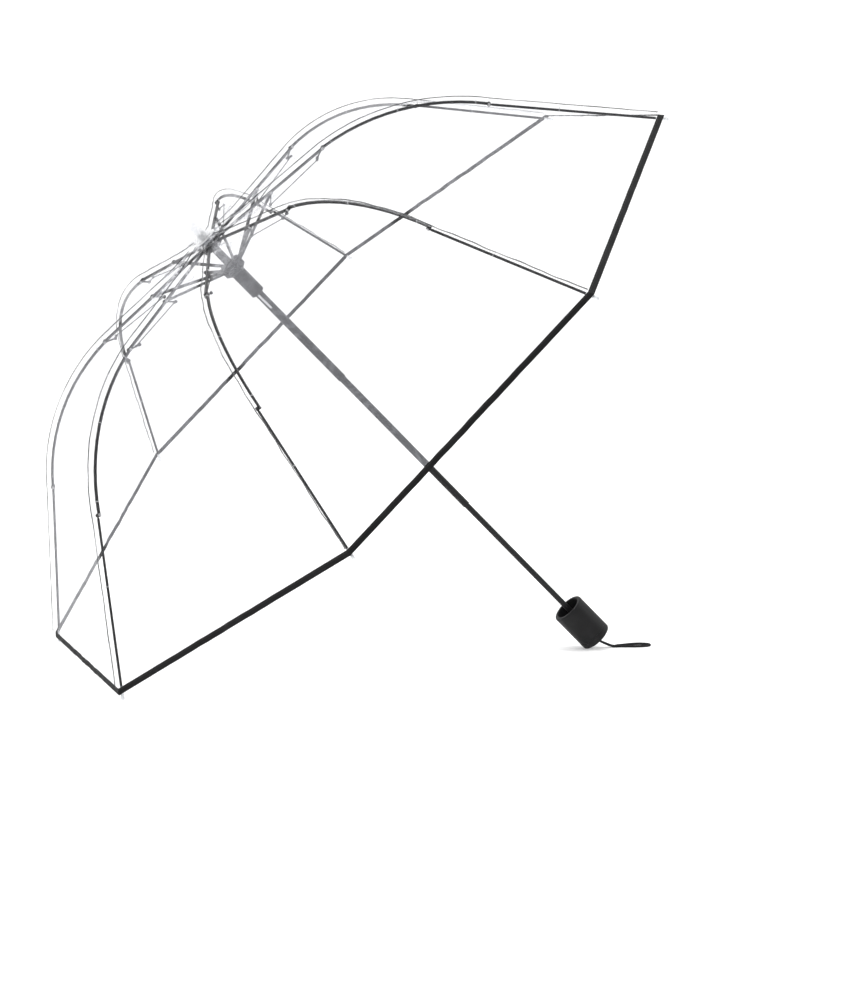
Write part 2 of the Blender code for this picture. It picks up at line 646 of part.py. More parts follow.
def canopy_line():
    """The line that the sheet follows, lifted off the ribs: from the crown, over knee and elbow, to the tip."""
    arc = arc_path(KNEE, ELBOW, MIDDLE_RIB_BOW, 8)
    outward = [ELBOW + (TIP - ELBOW) * i / 6 for i in range(1, 7)]
    along_top = [KNEE + (CROWN_PIVOT - KNEE) * i / 4 for i in (3, 2, 1)]
    line = along_top + arc + outward
    lifted = []
    for i, here in enumerate(line):
        before, after = line[max(i - 1, 0)], line[min(i + 1, len(line) - 1)]
        lifted.append(here + 1j * (after - before) / abs(after - before) * CANOPY_LIFT)
    hole = (TOP_TUBE_RADIUS + FIT) / math.cos(math.pi / RIB_COUNT)
    over_crown = [complex(hole, CANOPY_TOP), complex(CROWN_RADIUS + 1 * MM, CANOPY_TOP)]
    return over_crown + [complex(CROWN_RADIUS * 1.8, CANOPY_TOP - 1.5 * MM)] + lifted


def offset_line(line, distance):
    moved_line = []
    for i, here in enumerate(line):
        before, after = line[max(i - 1, 0)], line[min(i + 1, len(line) - 1)]
        moved_line.append(here + 1j * (after - before) / abs(after - before) * distance)
    return moved_line


def eight_sided(name, outline, parts):
    """A closed outline in the rib plane, carried round the eight ribs with straight runs between them."""
    points, faces = [], []
    count = len(outline)
    around = RIB_COUNT * parts
    for number in range(RIB_COUNT):
        first = -2 * math.pi * (number + 0.5) / RIB_COUNT
        second = -2 * math.pi * (number + 1.5) / RIB_COUNT
        for part in range(parts):
            share = part / parts
            x = (1 - share) * math.cos(first) + share * math.cos(second)
            y = (1 - share) * math.sin(first) + share * math.sin(second)
            points += [(spot.real * x, spot.real * y, spot.imag) for spot in outline]
    for i in range(around):
        for j in range(count):
            k, n = (j + 1) % count, (i + 1) % around
            faces.append((i * count + j, i * count + k, n * count + k, n * count + j))
    return mesh_from(name, points, faces)


def make_canopy(upright, finishes):
    line = canopy_line()
    slope = (line[-1] - line[-2]) / abs(line[-1] - line[-2])
    rim = line[-1]
    line[-1] = rim - slope * (HEM_WIDTH + FIT)
    upper, lower = offset_line(line, CANOPY_THICKNESS / 2), offset_line(line, -CANOPY_THICKNESS / 2)
    place("canopy", eight_sided("canopy", upper + lower[::-1], 4), finishes["clear"], upright)
    up = 1j * slope * HEM_THICKNESS / 2
    inner = rim - slope * HEM_WIDTH
    binding = eight_sided("hem_binding", [rim + up, inner + up, inner - up, rim - up], 1)
    place("hem_binding", binding, finishes["tape"], upright)
    low = CANOPY_TOP + CANOPY_THICKNESS / 2 + FIT
    bore = TOP_TUBE_RADIUS + FIT
    high = low + WASHER_THICKNESS
    profile = [(bore, low), (WASHER_RADIUS, low), (WASHER_RADIUS - 0.4 * MM, high), (bore, high)]
    place("canopy_washer", turned("canopy_washer", profile, 32), finishes["clear_plastic"], upright)
    base = high + FIT
    socket_top = TOP_TUBE_TOP + 1 * MM
    top = base + FERRULE_LENGTH
    profile = [
        (bore, base), (FERRULE_RADIUS, base), (FERRULE_RADIUS, base + 3 * MM),
        (FERRULE_RADIUS * 0.72, base + 6 * MM), (FERRULE_RADIUS * 0.6, top - 5 * MM),
        (FERRULE_RADIUS * 0.66, top - 3 * MM), (FERRULE_RADIUS * 0.5, top - 0.8 * MM),
        (0, top), (0, socket_top), (bore, socket_top),
    ]
    place("ferrule_cap", turned("ferrule_cap", profile, 24), finishes["clear_plastic"], upright)


# ---- Setting the umbrella down on the floor

def resting_tilt():
    """How far the shaft leans from upright when two neighbouring tips and the handle's edge meet the floor.

    The tip's nose and the handle's edge are balls, and the floor touches both.
    """
    nose = TIP + cmath.rect(TIP_NOSE - TIP_RADIUS, -END_RIB_DROP)
    across = nose.real * math.cos(math.pi / RIB_COUNT) - (HANDLE_RADIUS - HANDLE_EDGE)
    along = (HANDLE_BOTTOM + HANDLE_EDGE) - nose.imag
    return math.atan2(-along, across) + math.asin((HANDLE_EDGE - TIP_RADIUS) / math.hypot(across, along))


def bounds_of(objects):
    """The lowest and highest corners of the objects, in the world."""
    graph = bpy.context.evaluated_depsgraph_get()
    spots = []
    for made in objects:
        shape = made.evaluated_get(graph)
        spots += [made.matrix_world @ vertex.co for vertex in shape.data.vertices]
    low = [min(spot[i] for spot in spots) for i in range(3)]
    high = [max(spot[i] for spot in spots) for i in range(3)]
    return low, high


def set_down(upright):
    """Moves the umbrella so that the middle of its box stands over the origin, on the floor."""
    bpy.context.view_layer.update()
    low, high = bounds_of([made for made in bpy.data.objects if made.type == "MESH"])
    upright.location = (-(low[0] + high[0]) / 2, -(low[1] + high[1]) / 2, -low[2])
    bpy.context.view_layer.update()


def main():
    for old in list(bpy.data.objects):
        bpy.data.objects.remove(old)
    finishes = make_materials()
    upright = empty("umbrella")
    make_ribs(upright, finishes)
    make_crown(upright, finishes)
    make_runner(upright, finishes)
    make_catch(upright, finishes)
    lower_tube = make_shaft(upright, finishes)
    knot_bottom = make_handle(upright, finishes)
    make_canopy(upright, finishes)
    bpy.context.view_layer.update()
    for name in ("handle_grip", "handle_socket", "handle_end_cap", "strap_knot"):
        piece = bpy.data.objects[name]
        piece.parent = lower_tube
        piece.location = -lower_tube.matrix_world.translation
    upright.rotation_euler = (0, -resting_tilt(), 0)
    set_down(upright)
    make_strap(upright, finishes, knot_bottom)


main()
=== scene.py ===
# %% [markdown]
# # A clear folding umbrella
# The umbrella is open and lies on its side: two rib tips and the edge of its handle touch the floor. Its
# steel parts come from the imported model, and this script adds what they lack: the clear film, the black
# tape round its edge, the welded seams, the plastic tips and cap, the strap, and a finish for every
# surface. Everything is measured from the model's own joints, so that a new piece lands exactly where it
# belongs.

# %% Load the frame
import json
import math

import bmesh
import bpy
import numpy as np
from mathutils import Matrix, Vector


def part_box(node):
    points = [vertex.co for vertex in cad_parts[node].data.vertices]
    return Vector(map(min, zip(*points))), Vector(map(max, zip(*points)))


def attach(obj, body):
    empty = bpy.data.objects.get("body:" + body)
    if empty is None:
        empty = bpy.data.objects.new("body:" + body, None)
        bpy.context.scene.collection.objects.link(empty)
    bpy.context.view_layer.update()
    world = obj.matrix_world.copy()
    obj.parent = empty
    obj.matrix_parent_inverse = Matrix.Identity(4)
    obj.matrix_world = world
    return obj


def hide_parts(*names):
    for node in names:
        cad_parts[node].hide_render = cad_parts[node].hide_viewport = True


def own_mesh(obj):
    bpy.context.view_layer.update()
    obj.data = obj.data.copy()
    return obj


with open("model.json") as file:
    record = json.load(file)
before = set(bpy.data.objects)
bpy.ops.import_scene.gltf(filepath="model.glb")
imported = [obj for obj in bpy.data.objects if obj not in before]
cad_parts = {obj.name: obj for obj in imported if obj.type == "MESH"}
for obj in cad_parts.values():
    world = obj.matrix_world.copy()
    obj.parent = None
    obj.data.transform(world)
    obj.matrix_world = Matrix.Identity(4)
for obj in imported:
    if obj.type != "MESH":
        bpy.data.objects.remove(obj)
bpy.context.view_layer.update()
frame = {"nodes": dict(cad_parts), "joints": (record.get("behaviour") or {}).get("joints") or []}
NODES = frame["nodes"]
JOINTS = {joint["name"]: joint for joint in frame["joints"]}
RIBS = range(1, 9)
MM = 0.001

# %% [markdown]
# ## The umbrella's own directions
# An umbrella is easiest to think about upright, as a profile in the plane of one rib. The runner slides
# down the shaft, so its axis gives the upright direction. The hinges of the eight top ribs lie on a ring
# round the shaft, and the middle of that ring is the hub that all the profiles start from.

# %% Hub and directions
UP = -np.array(JOINTS["runner_slide"]["axis"], float)
CROWN_HINGES = np.array([JOINTS[f"top_rib_hinge_{rib}"]["pos_m"] for rib in RIBS], float)
HUB = CROWN_HINGES.mean(axis=0)
OUTWARD = {rib: (CROWN_HINGES[rib - 1] - HUB) / np.linalg.norm(CROWN_HINGES[rib - 1] - HUB) for rib in RIBS}
ASIDE = {rib: np.cross(UP, OUTWARD[rib]) for rib in RIBS}


def in_rib_plane(point, rib=1):
    """A point as its distance from the shaft and its height above the hub, seen in the plane of a rib."""
    offset = np.array(point, float) - HUB
    return np.array([offset @ OUTWARD[rib], offset @ UP])


def vertices_of(node):
    """All the vertices of a node of the frame, as an array."""
    mesh = NODES[node].data
    found = np.empty(len(mesh.vertices) * 3, np.float32)
    mesh.vertices.foreach_get("co", found)
    return found.reshape(-1, 3).astype(float)


def farthest_from(node, start):
    """The vertex of a node that lies farthest from a point."""
    found = vertices_of(node)
    return found[np.linalg.norm(found - start, axis=1).argmax()]


PIVOT = in_rib_plane(JOINTS["top_rib_hinge_1"]["pos_m"])
KNEE = in_rib_plane(JOINTS["knee_1"]["pos_m"])
ELBOW = in_rib_plane(JOINTS["elbow_1"]["pos_m"])
NOSE = in_rib_plane(farthest_from("end_rib_1", np.array(JOINTS["elbow_1"]["pos_m"], float)))
TIP_NOSE = 6 * MM
END_ALONG = (NOSE - ELBOW) / np.linalg.norm(NOSE - ELBOW)
TIP = NOSE - END_ALONG * TIP_NOSE
print("knee, elbow and tip in the rib plane (mm):", *(np.round(spot * 1000) for spot in (KNEE, ELBOW, TIP)))

# %% [markdown]
# ## Camera
# The camera stands low and to the left, and looks along the floor with a long lens, so that the far ribs
# are nearly as large as the near ones. It is rolled a little. Its place is measured from the middle of
# the edge that rests on the floor.

# %% Camera
REST_EDGE_X = min(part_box("end_rib_4")[0][0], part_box("end_rib_5")[0][0]) + 1.9 * MM
CAMERA_FROM_EDGE = np.array([-0.615, -3.161, 0.615])
CAMERA_FORWARD = np.array([0.3091, 0.9426, -0.1266])
CAMERA_UP = np.array([0.0233, 0.1255, 0.9918])
LENS_MM = 102.1


def make_camera():
    forward = CAMERA_FORWARD / np.linalg.norm(CAMERA_FORWARD)
    right = np.cross(forward, CAMERA_UP)
    right /= np.linalg.norm(right)
    up = np.cross(right, forward)
    place = CAMERA_FROM_EDGE + np.array([REST_EDGE_X, 0, 0])
    data = bpy.data.cameras.new("camera")
    data.lens = LENS_MM
    data.sensor_width = 36
    data.clip_end = 50
    camera = bpy.data.objects.new("camera", data)
    rows = [[right[i], up[i], -forward[i], place[i]] for i in range(3)] + [[0, 0, 0, 1]]
    camera.matrix_world = Matrix(rows)
    bpy.context.scene.collection.objects.link(camera)
    bpy.context.scene.camera = camera
    print("camera at", np.round(place, 3))


make_camera()

# %% [markdown]
# ## Shader maths
# A material is a graph of small nodes. Written as Python sums, the same graph stays readable: this class
# wraps one socket, and each operator adds the Math node that does it.

# %% Shader maths
class Socket:
    """One output of a shader node. Sums with numbers and other sockets add Math nodes."""

    def __init__(self, graph, output):
        self.graph, self.output = graph, output

    def maths(self, operation, *others):
        return self.graph.node("ShaderNodeMath", {"operation": operation}, dict(enumerate((self, *others))))

    def __add__(self, other):
        return self.maths("ADD", other)

    def __sub__(self, other):
        return self.maths("SUBTRACT", other)

    def __mul__(self, other):
        return self.maths("MULTIPLY", other)

    def __truediv__(self, other):
        return self.maths("DIVIDE", other)

    def __radd__(self, other):
        return self.maths("ADD", other)

    def __rmul__(self, other):
        return self.maths("MULTIPLY", other)

    def __rsub__(self, other):
        return self.graph.node("ShaderNodeMath", {"operation": "SUBTRACT"}, {0: other, 1: self})

    def clamped(self):
        return self.graph.node("ShaderNodeClamp", {}, {"Value": self})

    def band(self, low, high):
        """0 below low, 1 above high, and a smooth rise between them."""
        settings = {"interpolation_type": "SMOOTHSTEP"}
        inputs = {"Value": self, "From Min": low, "From Max": high}
        return self.graph.node("ShaderNodeMapRange", settings, inputs)

    def sine(self):
        return self.maths("SINE")

    def power(self, exponent):
        return self.maths("POWER", exponent)


class Graph:
    """A material and its nodes."""

    def __init__(self, name, **shader_values):
        self.material = bpy.data.materials.new(name)
        self.material.use_nodes = True
        self.tree = self.material.node_tree
        self.shader = self.tree.nodes["Principled BSDF"]
        self.finish(**shader_values)

    def feed(self, node, inputs):
        for key, value in inputs.items():
            socket = node.inputs[key]
            if isinstance(value, Socket):
                self.tree.links.new(value.output, socket)
            elif isinstance(value, tuple) and len(value) == 3 and len(socket.default_value) == 4:
                socket.default_value = (*value, 1)
            else:
                socket.default_value = value

    def node(self, kind, settings, inputs, output=0):
        made = self.tree.nodes.new(kind)
        for key, value in settings.items():
            setattr(made, key, value)
        self.feed(made, inputs)
        return Socket(self, made.outputs[output])

    def place(self):
        """Object coordinates, in metres."""
        return self.node("ShaderNodeTexCoord", {}, {}, "Object")

    def attribute(self, name):
        return self.node("ShaderNodeAttribute", {"attribute_name": name}, {}, "Fac")

    def noise(self, scale, detail=3, roughness=0.55, distortion=0.0):
        inputs = {
            "Vector": self.place(),
            "Scale": scale,
            "Detail": detail,
            "Roughness": roughness,
            "Distortion": distortion,
        }
        return self.node("ShaderNodeTexNoise", {}, inputs)

    def mix(self, factor, first, second):
        """A blend of two colours."""
        made = self.tree.nodes.new("ShaderNodeMix")
        made.data_type = "RGBA"
        self.feed_mix(made, factor, first, second)
        return Socket(self, made.outputs["Result_Color" if "Result_Color" in made.outputs else 2])

    def feed_mix(self, made, factor, first, second):
        for socket, value in ((made.inputs[0], factor), (made.inputs[6], first), (made.inputs[7], second)):
            if isinstance(value, Socket):
                self.tree.links.new(value.output, socket)
            elif isinstance(value, tuple):
                socket.default_value = (*value, 1)
            else:
                socket.default_value = value

    def bump(self, height, distance, strength=1.0):
        inputs = {"Height": height, "Distance": distance, "Strength": strength}
        return self.node("ShaderNodeBump", {}, inputs)

    def finish(self, **inputs):
        """Feeds the Principled shader, and gives back the material. base_color is its Base Color, and so on."""
        named = {key: value for key, value in inputs.items() if key.isupper()}
        for key in inputs.keys() - named.keys():
            named[key.replace("_", " ").title().replace("Ior", "IOR")] = inputs[key]
        self.feed(self.shader, named)
        return self.material


# %% [markdown]
# ## Surfaces from arrays
# A piece is a grid of points: a function of two parameters, worked out for the whole grid at once. A thin
# piece is such a grid and its copy a little below, joined round the edge, so that it is a closed solid.

# %% Surface helpers
def add_mesh(name, points, faces, finish, smooth_degrees=40):
    """An object from points and faces, with smooth shading where the faces meet at a small angle."""
    mesh = bpy.data.meshes.new(name)
    mesh.from_pydata(points.tolist(), [], faces.tolist() if isinstance(faces, np.ndarray) else faces)
    mesh.update()
    mesh.shade_smooth()
    mesh.set_sharp_from_angle(angle=math.radians(smooth_degrees))
    mesh.materials.append(finish)
    made = bpy.data.objects.new(name, mesh)
    bpy.context.scene.collection.objects.link(made)
    return made


def grid_faces(rows, columns, start=0, flip=False, wrap=False):
    """The quads of a grid of rows by columns points. With wrap, the last column joins the first."""
    across = columns if wrap else columns - 1
    row, column = np.meshgrid(np.arange(rows - 1), np.arange(across), indexing="ij")
    here, beside = row * columns + column, row * columns + (column + 1) % columns
    quads = np.stack([here, beside, beside + columns, here + columns], axis=-1).reshape(-1, 4) + start
    return quads[:, ::-1] if flip else quads


def shell(name, top, thickness, finish, smooth_degrees=60):
    """A closed thin solid: the grid of points top, its copy a thickness below it, and four edges."""
    rows, columns, _ = top.shape
    along, across = np.gradient(top, axis=0), np.gradient(top, axis=1)
    normal = np.cross(along, across)
    normal /= np.linalg.norm(normal, axis=2, keepdims=True) + 1e-12
    if (normal @ UP).mean() < 0:
        normal = -normal
    under = top - normal * thickness
    count = rows * columns
    points = np.concatenate([top.reshape(-1, 3), under.reshape(-1, 3)])
    quads = [grid_faces(rows, columns), grid_faces(rows, columns, count, flip=True)]
    index = np.arange(count).reshape(rows, columns)
    edge = np.concatenate([index[0, :], index[1:, -1], index[-1, -2::-1], index[-2:0:-1, 0]])
    following = np.roll(edge, -1)
    quads.append(np.stack([following, edge, edge + count, following + count], axis=1))
    faces = np.concatenate(quads)
    first = points[faces[0]]
    turn = np.cross(first[1] - first[0], first[2] - first[0]) @ normal[0, 0]
    return add_mesh(name, points, faces if turn > 0 else faces[:, ::-1], finish, smooth_degrees)


def tube_along(name, path, side, lift, finish, smooth_degrees=50):
    """A closed section carried along a path. side and lift give, for each path point, the section's offsets."""
    points = path[:, None, :] + side + lift
    rows, columns, _ = points.shape
    flat = points.reshape(-1, 3)
    middle = points.mean(axis=1)
    faces = [tuple(quad) for quad in grid_faces(rows, columns, wrap=True).tolist()]
    faces += [tuple(range(columns))[::-1], tuple(range((rows - 1) * columns, rows * columns))]
    quad = flat[list(faces[0])]
    outward = quad.mean(axis=0) - middle[:2].mean(axis=0)
    if np.cross(quad[1] - quad[0], quad[2] - quad[0]) @ outward < 0:
        faces = [face[::-1] for face in faces]
    return add_mesh(name, flat, faces, finish, smooth_degrees)


def turned(name, profile, start, axis, finish, steps=64, smooth_degrees=35):
    """A closed profile of (radius, distance along) points, carried once round an axis through start."""
    profile = np.array(profile, float)
    axis = np.array(axis, float) / np.linalg.norm(axis)
    helper = np.array([0, 1, 0]) if abs(axis[1]) < 0.9 else np.array([1, 0, 0])
    first = np.cross(helper, axis)
    first /= np.linalg.norm(first)
    second = np.cross(axis, first)
    turn = np.linspace(0, 2 * np.pi, steps, endpoint=False)
    spokes = np.cos(turn)[:, None] * first + np.sin(turn)[:, None] * second
    points = start + profile[:, 0][:, None, None] * spokes + (profile[:, 1][:, None] * axis)[:, None, :]
    rows = len(profile)
    faces = [tuple(quad) for quad in grid_faces(rows, steps, wrap=True).tolist()]
    if profile[0, 0] > 1e-6:
        last = (rows - 1) * steps
        faces += [(last + k, last + (k + 1) % steps, (k + 1) % steps, k) for k in range(steps)]
    made = add_mesh(name, points.reshape(-1, 3), faces, finish, smooth_degrees)
    return tidied(made, smooth_degrees)


def tidied(made, smooth_degrees=35):
    """Merges doubled points, and points every face outwards."""
    shape = bmesh.new()
    shape.from_mesh(made.data)
    bmesh.ops.remove_doubles(shape, verts=shape.verts, dist=1e-6)
    bmesh.ops.recalc_face_normals(shape, faces=shape.faces)
    shape.to_mesh(made.data)
    shape.free()
    made.data.shade_smooth()
    made.data.set_sharp_from_angle(angle=math.radians(smooth_degrees))
    return made


def note(made, name, values):
    """Stores a number for each vertex, for a material to read."""
    attribute = made.data.attributes.new(name, "FLOAT", "POINT")
    attribute.data.foreach_set("value", np.asarray(values, np.float32).ravel())


# %% [markdown]
# ## Wrist strap
# The strap is a thin braided cord. It leaves the flat end of the handle, drops to the floor within a few
# centimetres, and lies there in a long narrow loop. It is one curve of fixed length, with both ends held
# by the knot inside the handle.

# %% Wrist strap
STRAP_DIAMETER = 3 * MM
STRAP_LOOP = [
    (22, 2.2), (30, 3.4), (38, 5.4), (47, 7.6), (56, 8.6), (64, 7.2), (69.5, 3.0),
    (70, -2.4), (65.5, -6.8), (58, -8.6), (49, -8.0), (40, -6.0), (31, -3.8), (22, -2.2),
]
STRAP_HALF_GAP = 1.9 * MM
BRAID_TURN = 3600  # turn of the braid's wave along one metre, in radians


def braided_cord():
    """Black polyester braid: two crossing sets of fine strands, seen as a small diamond relief."""
    graph = Graph("braided_cord", roughness=0.78, specular_ior_level=0.25)
    along = graph.attribute("strand_along")
    around = graph.attribute("strand_around")
    one = (along * BRAID_TURN + around * 6).sine()
    other = (along * BRAID_TURN - around * 6).sine()
    relief = one.maths("MAXIMUM", other)
    # The colour follows the relief, darker in the hollows between strands and lighter on the crests: painted
    # shade and painted highlight.
    tone = graph.mix((relief * 0.5 + 0.5).clamped(), (0.003, 0.003, 0.0035), (0.014, 0.014, 0.015))
    return graph.finish(base_color=tone, normal=graph.bump(relief, 0.0001, 0.6))


def smooth_route(points, gap):
    """A Catmull-Rom curve through the points, with a point about every gap."""
    route = np.array(points, float)
    ends = np.vstack([2 * route[0] - route[1], route, 2 * route[-1] - route[-2]])
    found = [route[:1]]
    for i in range(len(route) - 1):
        a, b, c, d = ends[i : i + 4]
        steps = max(1, round(np.linalg.norm(c - b) / gap))
        t = (np.arange(1, steps + 1) / steps)[:, None]
        bend, twist = 2 * a - 5 * b + 4 * c - d, 3 * b - a - 3 * c + d
        found.append(0.5 * (2 * b + (c - a) * t + bend * t**2 + twist * t**3))
    return np.vstack(found)


def handle_end_height():
    """The height of the handle's flat end, measured along the shaft from the hub."""
    return ((vertices_of("handle_end_cap") - HUB) @ UP).min()


HANDLE_END = handle_end_height()


def strap_path():
    """Out of the handle side by side, down to the floor, and round the loop, as the model's own route goes."""
    aside = np.array([0, 1, 0])
    heights = (HANDLE_END + 4.1 * MM, HANDLE_END, HANDLE_END - 7 * MM)
    out = [HUB + UP * height + aside * STRAP_HALF_GAP for height in heights]
    over_floor = (HUB + UP * HANDLE_END) * np.array([1, 1, 0]) + np.array([0, 0, STRAP_DIAMETER / 2])
    loop = [over_floor + np.array([x, y, 0]) * MM for x, y in STRAP_LOOP]
    back = [point * np.array([1, -1, 1]) for point in reversed(out)]
    return smooth_route(out + loop + back, 2.5 * MM)


def make_strap():
    """The cord as a mesh tube of 16 sides round its path."""
    path = strap_path()
    step = np.gradient(path, axis=0)
    step /= np.linalg.norm(step, axis=1, keepdims=True)
    side = np.cross(step, np.array([0.02, 0.03, 1.0]))
    side /= np.linalg.norm(side, axis=1, keepdims=True)
    lift = np.cross(side, step)
    turn = np.linspace(0, 2 * np.pi, 16, endpoint=False)
    radius = STRAP_DIAMETER / 2
    made = tube_along(
        "strap_cord",
        path,
        side[:, None, :] * np.cos(turn)[None, :, None] * radius,
        lift[:, None, :] * np.sin(turn)[None, :, None] * radius,
        braided_cord(),
    )
    length = np.concatenate([[0], np.cumsum(np.linalg.norm(np.diff(path, axis=0), axis=1))])
    note(made, "strand_along", np.repeat(length, 16))
    note(made, "strand_around", np.tile(turn, len(path)))
    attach(made, "handle")
    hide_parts("wrist_strap")
    print("strap length", round(float(length[-1]), 4), "m")


make_strap()

# %% [markdown]
# ## The clear film
# The film is thin soft plastic. Light goes nearly straight through it, so it is drawn by how much it
# veils what is behind: a little everywhere, less where it lies tight on a rib, and more in the creases
# near the crown. The veil is the shader's Alpha, and it rises towards the edges of the form, where one
# looks along the sheet.

# %% Clear film finish
VEIL = 0.085


def clear_film():
    graph = Graph("clear_film", IOR=1.45)
    from_rib = graph.attribute("from_rib")
    from_crown = graph.attribute("from_crown")
    off_rib = from_rib.band(7 * MM, 20 * MM)
    near_crown = 1 - from_crown.band(0.03, 0.17)
    crease_noise = graph.noise(26, detail=4, roughness=0.6, distortion=1.2)
    crease = (1 - ((crease_noise - 0.5) * 18).maths("ABSOLUTE")).clamped()
    cloud = graph.noise(7, detail=2).band(0.42, 0.7)
    grazing = graph.node("ShaderNodeLayerWeight", {}, {"Blend": 0.35}, "Facing").power(3.0)
    spread = VEIL + cloud * 0.035 + crease * 0.05 + grazing * 0.16
    veil = spread * (0.12 + off_rib * 0.88) + near_crown * (crease * 0.32 + 0.03) * (0.35 + off_rib * 0.65)
    # Along the creases near the crown the colour turns to patches of near black and near white: painted shade
    # and painted highlight.
    shade = graph.noise(75, detail=2).band(0.44, 0.56)
    painted_glint_and_shade = graph.mix(shade, (0.16, 0.165, 0.18), (0.95, 0.95, 0.97))
    tone = graph.mix(crease * near_crown, (0.70, 0.71, 0.76), painted_glint_and_shade)
    relief = graph.noise(60, detail=2) * 0.4 + crease_noise
    return graph.finish(
        base_color=tone,
        roughness=0.1 + crease * 0.15,
        alpha=veil.clamped(),
        normal=graph.bump(relief, 0.002, 0.35),
    )


def clear_weld(name, tone, veil, patchy):
    """The fused seam of two panels: the same plastic, thicker. Its cut edge looks dark, like that of glass, and
    a dark tone paints that in as painted shade.
    """
    graph = Graph(name, IOR=1.45)
    pressed = graph.noise(260, detail=2).band(0.4, 0.6)
    long_patches = graph.noise(22, detail=2).band(0.3, 0.6)
    return graph.finish(
        base_color=tone,
        roughness=0.16 + pressed * 0.1,
        alpha=((veil + pressed * 0.08) * (1 - patchy + long_patches * patchy)).clamped(),
        normal=graph.bump(pressed, 0.0003, 0.5),
    )


FILM = clear_film()
WELD = clear_weld("clear_weld", (0.85, 0.86, 0.88), 0.06, 0.3)
# The edge bead is painted nearly black: painted shade, for how the edge of clear plastic looks dark.
SHADED_WELD_EDGE = clear_weld("shaded_weld_edge", (0.05, 0.052, 0.058), 0.7, 0.5)

# %% [markdown]
# ## The line the film follows
# Seen in the plane of a rib, the film runs a few millimetres above the steel: level from the crown, over
# the bowed middle rib, and down the straight end rib to the rim. The bow is a circle's arc between the
# knee and the elbow. The line is walked in equal steps, and remembers how far along it the knee and the
# elbow lie.

# %% The film's line
FILM_LIFT = 4 * MM
RIB_BOW = 19.4 * MM
HEM_WIDTH = 7.5 * MM
HEM_THICKNESS = 1 * MM
HEM_GAP = 0.4 * MM
FILM_THICKNESS = 0.2 * MM
CROWN_FILM_EDGE = 24 * MM


def arc_between(start, end, bow, steps):
    """Points of the circle through start and end that rises by bow above the middle of its chord."""
    chord = end - start
    half = np.linalg.norm(chord) / 2
    radius = (half**2 + bow**2) / (2 * bow)
    above = np.array([-chord[1], chord[0]]) / (2 * half)
    centre = (start + end) / 2 - above * (radius - bow)
    first = math.atan2(*(start - centre)[::-1])
    turn = first - np.linspace(0, 2 * math.asin(half / radius), steps)
    return centre + radius * np.stack([np.cos(turn), np.sin(turn)], axis=1)


CROWN_FILM = 7.9  # height of the film over the hub's middle, in millimetres


def film_line():
    """(points, distances along, distances of the knee, the bow's middle, the elbow and the rim)."""
    share = np.linspace(0.28, 1, 30)[:, None]
    level = PIVOT + (KNEE - PIVOT) * share
    bowed = arc_between(KNEE, ELBOW, RIB_BOW, 80)[1:]
    straight = ELBOW + (TIP - ELBOW) * np.linspace(0, 1, 60)[1:, None]
    steel = np.vstack([level, bowed, straight])
    step = np.gradient(steel, axis=0)
    above = np.stack([-step[:, 1], step[:, 0]], axis=1) / np.linalg.norm(step, axis=1, keepdims=True)
    lifted = steel + above * FILM_LIFT
    crown = np.array([(5.6, CROWN_FILM), (14, CROWN_FILM), (23, CROWN_FILM - 1.5)]) * MM
    line = np.vstack([crown, lifted])
    along = np.concatenate([[0], np.cumsum(np.linalg.norm(np.diff(line, axis=0), axis=1))])
    first = len(crown)
    marks = [along[first + 29], along[first + 29 + 40], along[first + 29 + 79], along[-1]]
    return line, along, marks


LINE, ALONG, (AT_KNEE, AT_BOW, AT_ELBOW, AT_RIM) = film_line()
AT_CROWN_EDGE = float(np.interp(CROWN_FILM_EDGE, LINE[:, 0], ALONG))
AT_HEM = AT_RIM - HEM_WIDTH - HEM_GAP
print("film line from crown to rim:", round(AT_RIM, 4), "m")


def on_line(distance):
    """Radius, height, and the line's upward normal, at distances along it."""
    radius = np.interp(distance, ALONG, LINE[:, 0])
    height = np.interp(distance, ALONG, LINE[:, 1])
    step = 3 * MM
    ahead = np.stack([np.interp(distance + step, ALONG, LINE[:, k]) for k in (0, 1)], axis=-1)
    behind = np.stack([np.interp(distance - step, ALONG, LINE[:, k]) for k in (0, 1)], axis=-1)
    along = (ahead - behind) / np.linalg.norm(ahead - behind, axis=-1, keepdims=True)
    return radius, height, np.stack([-along[..., 1], along[..., 0]], axis=-1)


# %% [markdown]
# ## Film between the ribs
# Between two ribs the film is pulled nearly flat, so a point on it lies on the straight line from one rib
# to the next. To that flat panel the surface adds what makes it read as soft plastic: a slight sag,
# pleats that fan out from the crown, and long shallow waves. All of them fade out at the ribs, where the
# film is held.

# %% The film's surface
PANEL_ANGLE = 2 * math.pi / 8
PLEATS = 5
PLEAT_HEIGHT = 1.5 * MM
LONG_WAVE, CROSS_WAVE, SLANT_WAVE = 0.9 * MM, 0.6 * MM, 0.5 * MM
SAG = 3 * MM
WAVES = np.random.default_rng(11).uniform(0, 2 * np.pi, (9, 6))


def film_relief(distance, across, panel):
    """How far the film stands out of the flat panel. across runs from 0 at one rib to 1 at the next."""
    hold = np.sin(np.pi * across) ** 2
    phase = WAVES[panel]
    ending = 1 - np.clip((distance - (AT_HEM - 0.05)) / 0.05, 0, 1) ** 2
    fan = np.exp(-np.clip(distance - 0.03, 0, None) / 0.075) * np.clip(distance / 0.045, 0, 1) ** 1.5
    pleats = PLEAT_HEIGHT * fan * np.sin(2 * np.pi * PLEATS * across + phase[0] + distance * 24)
    waves = LONG_WAVE * np.sin(distance * 19 + across * 5 + phase[1])
    waves += CROSS_WAVE * np.sin(distance * 43 - across * 11 + phase[2])
    waves += SLANT_WAVE * np.sin(distance * 70 + across * 30 + phase[3])
    sag = SAG * np.sin(np.pi * np.clip(distance / AT_RIM, 0, 1)) ** 2
    return hold * ending * (pleats + waves - sag)


def panel_of(rib, side):
    """The number of the panel on that side of a rib: panel k lies between rib k and rib k + 1."""
    return rib if side < 0 else (rib - 2) % 8 + 1


